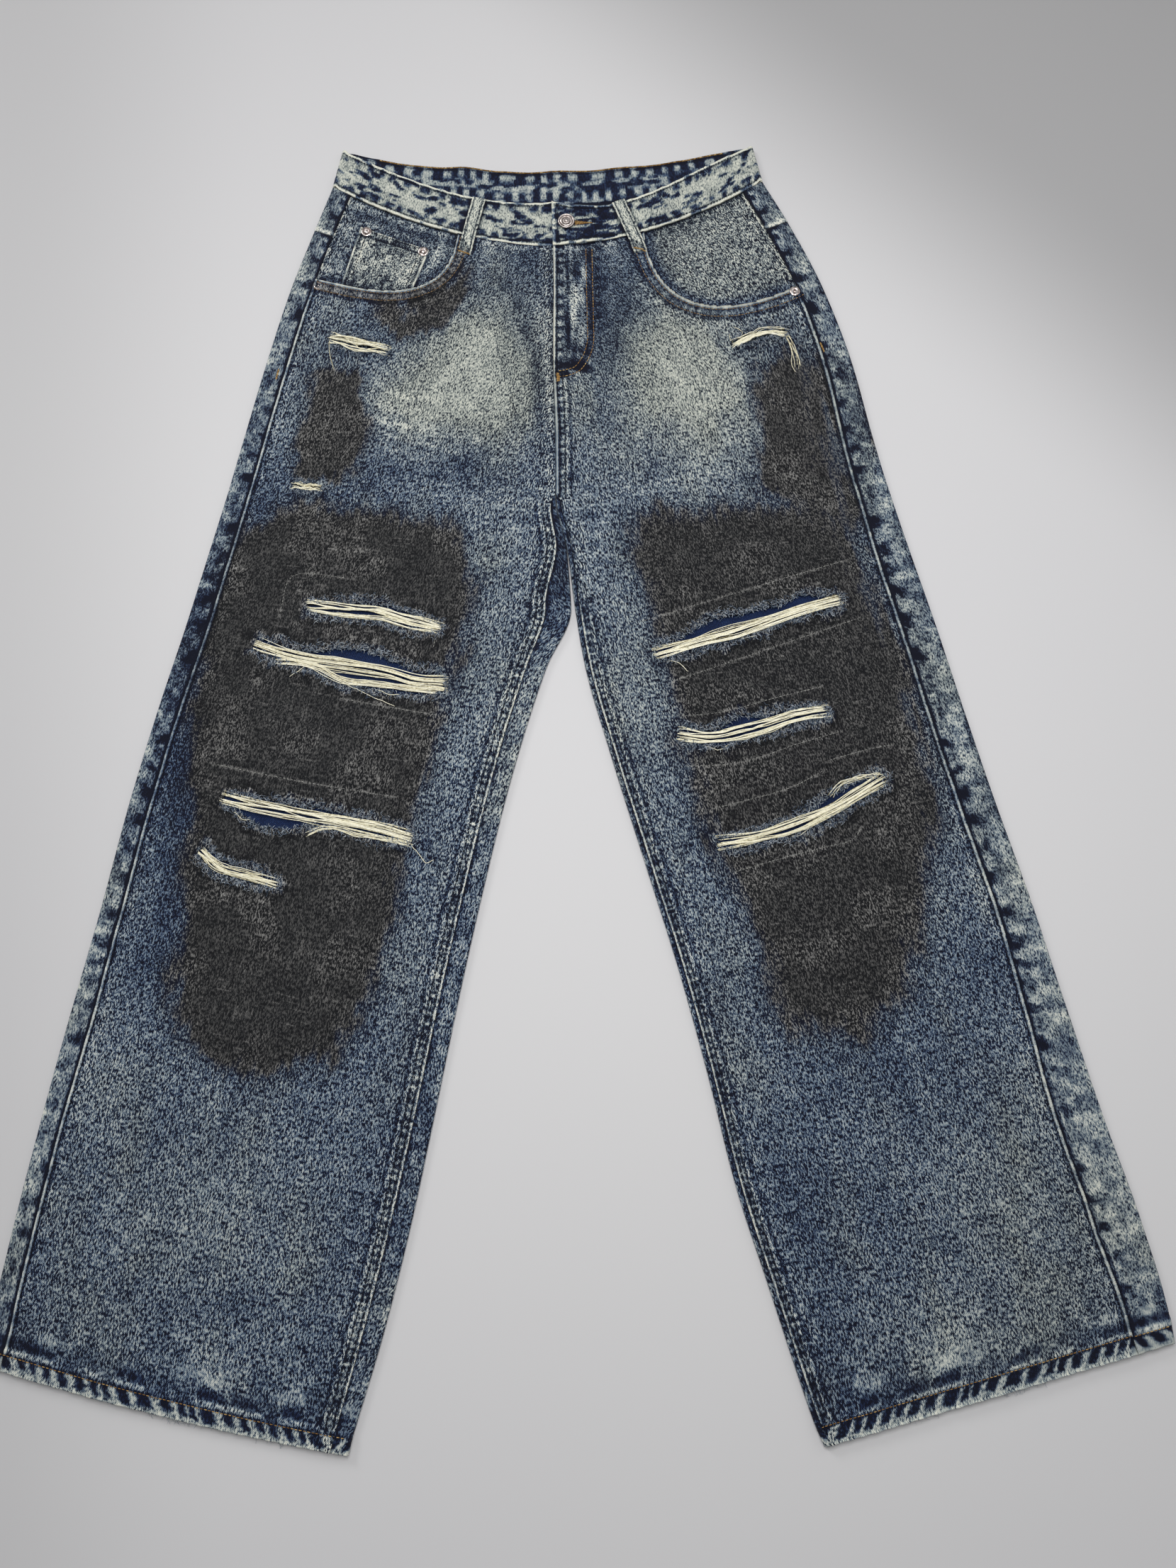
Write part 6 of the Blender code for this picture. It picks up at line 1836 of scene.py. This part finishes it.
class JEANS_OT_materials(bpy.types.Operator):
    """Make the materials of denim, patches, yarn, stitches, metal and floor"""
    bl_idname = "jeans.materials"
    bl_label = "Jeans materials"

    def execute(self, context):
        MATERIALS["denim"] = denim_material(context.scene.jeans.speckle)
        MATERIALS["patch"] = patch_material()
        for key, (name, stops) in YARN_COLOURS.items():
            MATERIALS[key] = yarn_material(name, stops)
        MATERIALS["button"] = metal_material("metal_button", BUTTON_PLACE, 0.0021)
        MATERIALS["rivet"] = metal_material("metal_rivet", RIVETS["rivet_coin_outer"], 0.004)
        MATERIALS["floor"] = floor_material()
        return {"FINISHED"}


class JEANS_OT_panels(bpy.types.Operator):
    """Make the fronts, backs, yokes, facings, coin pocket, waistband, belt loops and patches"""
    bl_idname = "jeans.panels"
    bl_label = "Jeans panels"

    def execute(self, context):
        for side in LEGS:
            add_panel(f"front_{side}", *front_cloth(side))
            back = back_cloth(side, station("yoke") + YOKE_GAP, station("hem_edge"), False)
            add_panel(f"back_{side}", *back, closed=True)
            yoke = back_cloth(side, WAIST_GAP, station("yoke") - YOKE_GAP, True)
            add_panel(f"yoke_{side}", *yoke, closed=True)
            add_panel(f"pocket_facing_{side}", *facing_cloth(side))
        add_panel("coin_pocket", *coin_cloth())
        add_panel("waistband", *band_cloth(), closed=True)
        for name in BELT_LOOPS:
            add_panel(name, *loop_cloth(name), closed=True)
        for name in PATCHES:
            add_panel(name, *patch_cloth(name), "patch", "patch_cloth", closed=True)
        return {"FINISHED"}


class JEANS_OT_sewing(bpy.types.Operator):
    """Sew the rows of stitches that show"""
    bl_idname = "jeans.sewing"
    bl_label = "Jeans sewing"

    def execute(self, context):
        pitch = context.scene.jeans.stitch_pitch
        cloth = {name: bpy.data.objects[name + "_cloth"] for name in CUTS}
        fronts = [cloth["front_right"], cloth["front_left"]]
        every = fronts + [cloth["back_right"], cloth["back_left"], cloth["yoke_right"], cloth["yoke_left"]]
        loops = [cloth["belt_loop_right"], cloth["belt_loop_left"]]
        waist = [cloth["waistband"]]
        fly = smooth_line(FLY_STITCH, 2.0)
        patch_rows = [smooth_line(line, 2.0) for line in PATCH_ROWS]
        hems = [hem_line(side, 11.9) for side in LEGS]
        band = [line for side in LEGS for line in band_lines(side, 2.8)]
        back_band = [back_edge(np.linspace(0.09, 0.93, 120)) - [0.0, 1.2]]
        sewing = (
            ("pockets", pocket_rows(), every, 1.0, 2.3, 0.38, "tan"),
            ("coin", coin_rows(), [cloth["coin_pocket"]], 0.85, 2.0, 0.3, "dark"),
            ("fly", [fly, offset_line(fly, -5.6)], fronts, 1.0, 2.4, 0.36, "gold"),
            ("waistband", band, waist, 1.0, 2.2, 0.36, "dark"),
            ("waistband_back", back_band, waist, 0.9, 2.7, 0.6, "gold"),
            ("hems", hems, every, 1.0, 2.3, 0.34, "gold"),
            ("seams", seam_rows(), every, 1.0, 2.3, 0.5, "dark"),
            ("patches", patch_rows, fronts, 1.0, 2.2, 0.22, "pale"),
            ("belt_loops", loop_rows(), loops, 0.9, 2.2, 0.24, "dark"),
        )
        for name, lines, things, wider, length, radius, colour in sewing:
            own(stitches("stitches_" + name, lines, things, pitch * wider, length, radius), colour, "thread")
        bars = [bartack(*bar) for bar in BARTACKS]
        own(stitches("bartacks", bars, every + loops + waist, 0.9, 1.9, 0.34), "gold", "thread")
        return {"FINISHED"}


class JEANS_OT_rips(bpy.types.Operator):
    """Fill the rips with loose yarns and fray their rims"""
    bl_idname = "jeans.rips"
    bl_label = "Jeans rips"

    def execute(self, context):
        for name in BUNDLES:
            own(yarns(name), "yarn", "thread", name)
        fronts = [bpy.data.objects[f"front_{side}_cloth"] for side in LEGS]
        own(loose_yarns("yarns_loose", LOOSE_YARNS, 0.3, fronts), "yarn", "thread")
        own(loose_yarns("yarn_dark", (DARK_YARN,), 0.22, fronts), "dark", "thread")
        for side in LEGS:
            own(rim_fibres(f"rim_fibres_{side}", side), "fibre", "thread")
        own(hem_fibres("hem_fibres"), "fibre", "thread")
        return {"FINISHED"}


class JEANS_OT_metal(bpy.types.Operator):
    """Turn the waist button and the four rivets"""
    bl_idname = "jeans.metal"
    bl_label = "Jeans metal"

    def execute(self, context):
        x, y = (np.array(value) for value in BUTTON_PLACE)
        base = float(band_height(x, y, True)) + BAND / 2 + SEAM
        button = turned("waist_button", BUTTON_PLACE, base, BUTTON_RADIUS, BUTTON_PROFILE, 72)
        own(button, "button", "metal", "button")
        for name, place in RIVETS.items():
            x, y = (np.array(value) for value in place)
            base = float(top_layer(x, y, DENIM)) + DENIM / 2 + SEAM + 0.1
            if "coin" in name:
                base += COIN_LIFT + PATCH / 2 - DENIM / 2
            rivet = turned(name + "_turned", place, base, RIVET_RADIUS, RIVET_PROFILE, 48)
            own(rivet, "rivet", "metal", name)
        return {"FINISHED"}


class JEANS_OT_studio(bpy.types.Operator):
    """Lay the pale floor, light it softly and set the camera"""
    bl_idname = "jeans.studio"
    bl_label = "Jeans studio"

    def execute(self, context):
        scene = context.scene
        corners = FLOOR_HALF * np.array([(-1, -1, 0), (1, -1, 0), (1, 1, 0), (-1, 1, 0)])
        floor = surface("floor", corners, [[0, 1, 2, 3]])
        floor.data.materials.append(MATERIALS["floor"])
        world = bpy.data.worlds.new("studio")
        world.use_nodes = True
        sky = world.node_tree.nodes["Background"].inputs
        sky["Color"].default_value = SKY_COLOUR
        sky["Strength"].default_value = SKY_STRENGTH
        scene.world = world
        for name, (place, size, power) in LIGHTS.items():
            light = bpy.data.lights.new(name, "AREA")
            light.shape, light.size, light.energy = "SQUARE", size, power * scene.jeans.light
            lamp = bpy.data.objects.new(name, light)
            lamp.location = place
            lamp.rotation_euler = (-Vector(place)).to_track_quat("-Z", "Y").to_euler()
            scene.collection.objects.link(lamp)
        camera = bpy.data.cameras.new("camera")
        camera.sensor_fit, camera.sensor_width = "HORIZONTAL", FILM
        camera.lens = FILM * CAMERA_FOCUS / PHOTO_WIDTH
        camera.clip_start, camera.clip_end = 0.05, 20.0
        eye = bpy.data.objects.new("camera", camera)
        right, forward = Vector(CAMERA_RIGHT).normalized(), Vector(CAMERA_FORWARD).normalized()
        up = right.cross(forward)
        eye.matrix_world = Matrix((right, up, -forward)).transposed().to_4x4()
        eye.location = CAMERA_PLACE
        scene.collection.objects.link(eye)
        scene.camera = eye
        scene.view_settings.view_transform = "Standard"
        return {"FINISHED"}


# The floor's half width in metres, the sky's colour and strength, and the lights: place, size and power
FLOOR_HALF = 6.0
SKY_COLOUR = (0.98, 0.99, 1.0, 1.0)
SKY_STRENGTH = 0.28
LIGHTS = {
    "key": ((-2.2, 2.2, 1.8), 1.0, 32.0),
    "second": ((1.3, 0.6, 1.1), 0.8, 2.8),
    "above": ((0.0, 0.15, 1.25), 0.7, 11.9),
}

# The photograph's view: the camera's film width in mm, the picture's width and focal length in pixels, and
# the camera's place and directions
FILM = 36.0
PHOTO_WIDTH = 1659
CAMERA_FOCUS = 1662.0
CAMERA_PLACE = (0.01346, -0.27479, 0.944)
CAMERA_FORWARD = (0.00712, 0.22484, -0.97437)
CAMERA_RIGHT = (0.9995, -0.03167, 0.0)


class JEANS_PT_panel(bpy.types.Panel):
    """The jeans' steps in the sidebar"""
    bl_label = "Jeans"
    bl_space_type = "VIEW_3D"
    bl_region_type = "UI"
    bl_category = "Jeans"

    def draw(self, context):
        for name in ("speckle", "stitch_pitch", "light"):
            self.layout.prop(context.scene.jeans, name)
        for step in STEPS:
            self.layout.operator(step.bl_idname)


STEPS = (JEANS_OT_materials, JEANS_OT_panels, JEANS_OT_sewing, JEANS_OT_rips, JEANS_OT_metal, JEANS_OT_studio)
CLASSES = (JeansSettings, *STEPS, JEANS_PT_panel)


def register():
    for each in CLASSES:
        bpy.utils.register_class(each)
    bpy.types.Scene.jeans = bpy.props.PointerProperty(type=JeansSettings)


def unregister():
    del bpy.types.Scene.jeans
    for each in reversed(CLASSES):
        bpy.utils.unregister_class(each)


def main():
    """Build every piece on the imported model."""
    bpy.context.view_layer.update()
    register()
    bpy.ops.jeans.materials()
    bpy.ops.jeans.panels()
    bpy.ops.jeans.sewing()
    bpy.ops.jeans.rips()
    bpy.ops.jeans.metal()
    bpy.ops.jeans.studio()


if __name__ == "__main__":
    main()
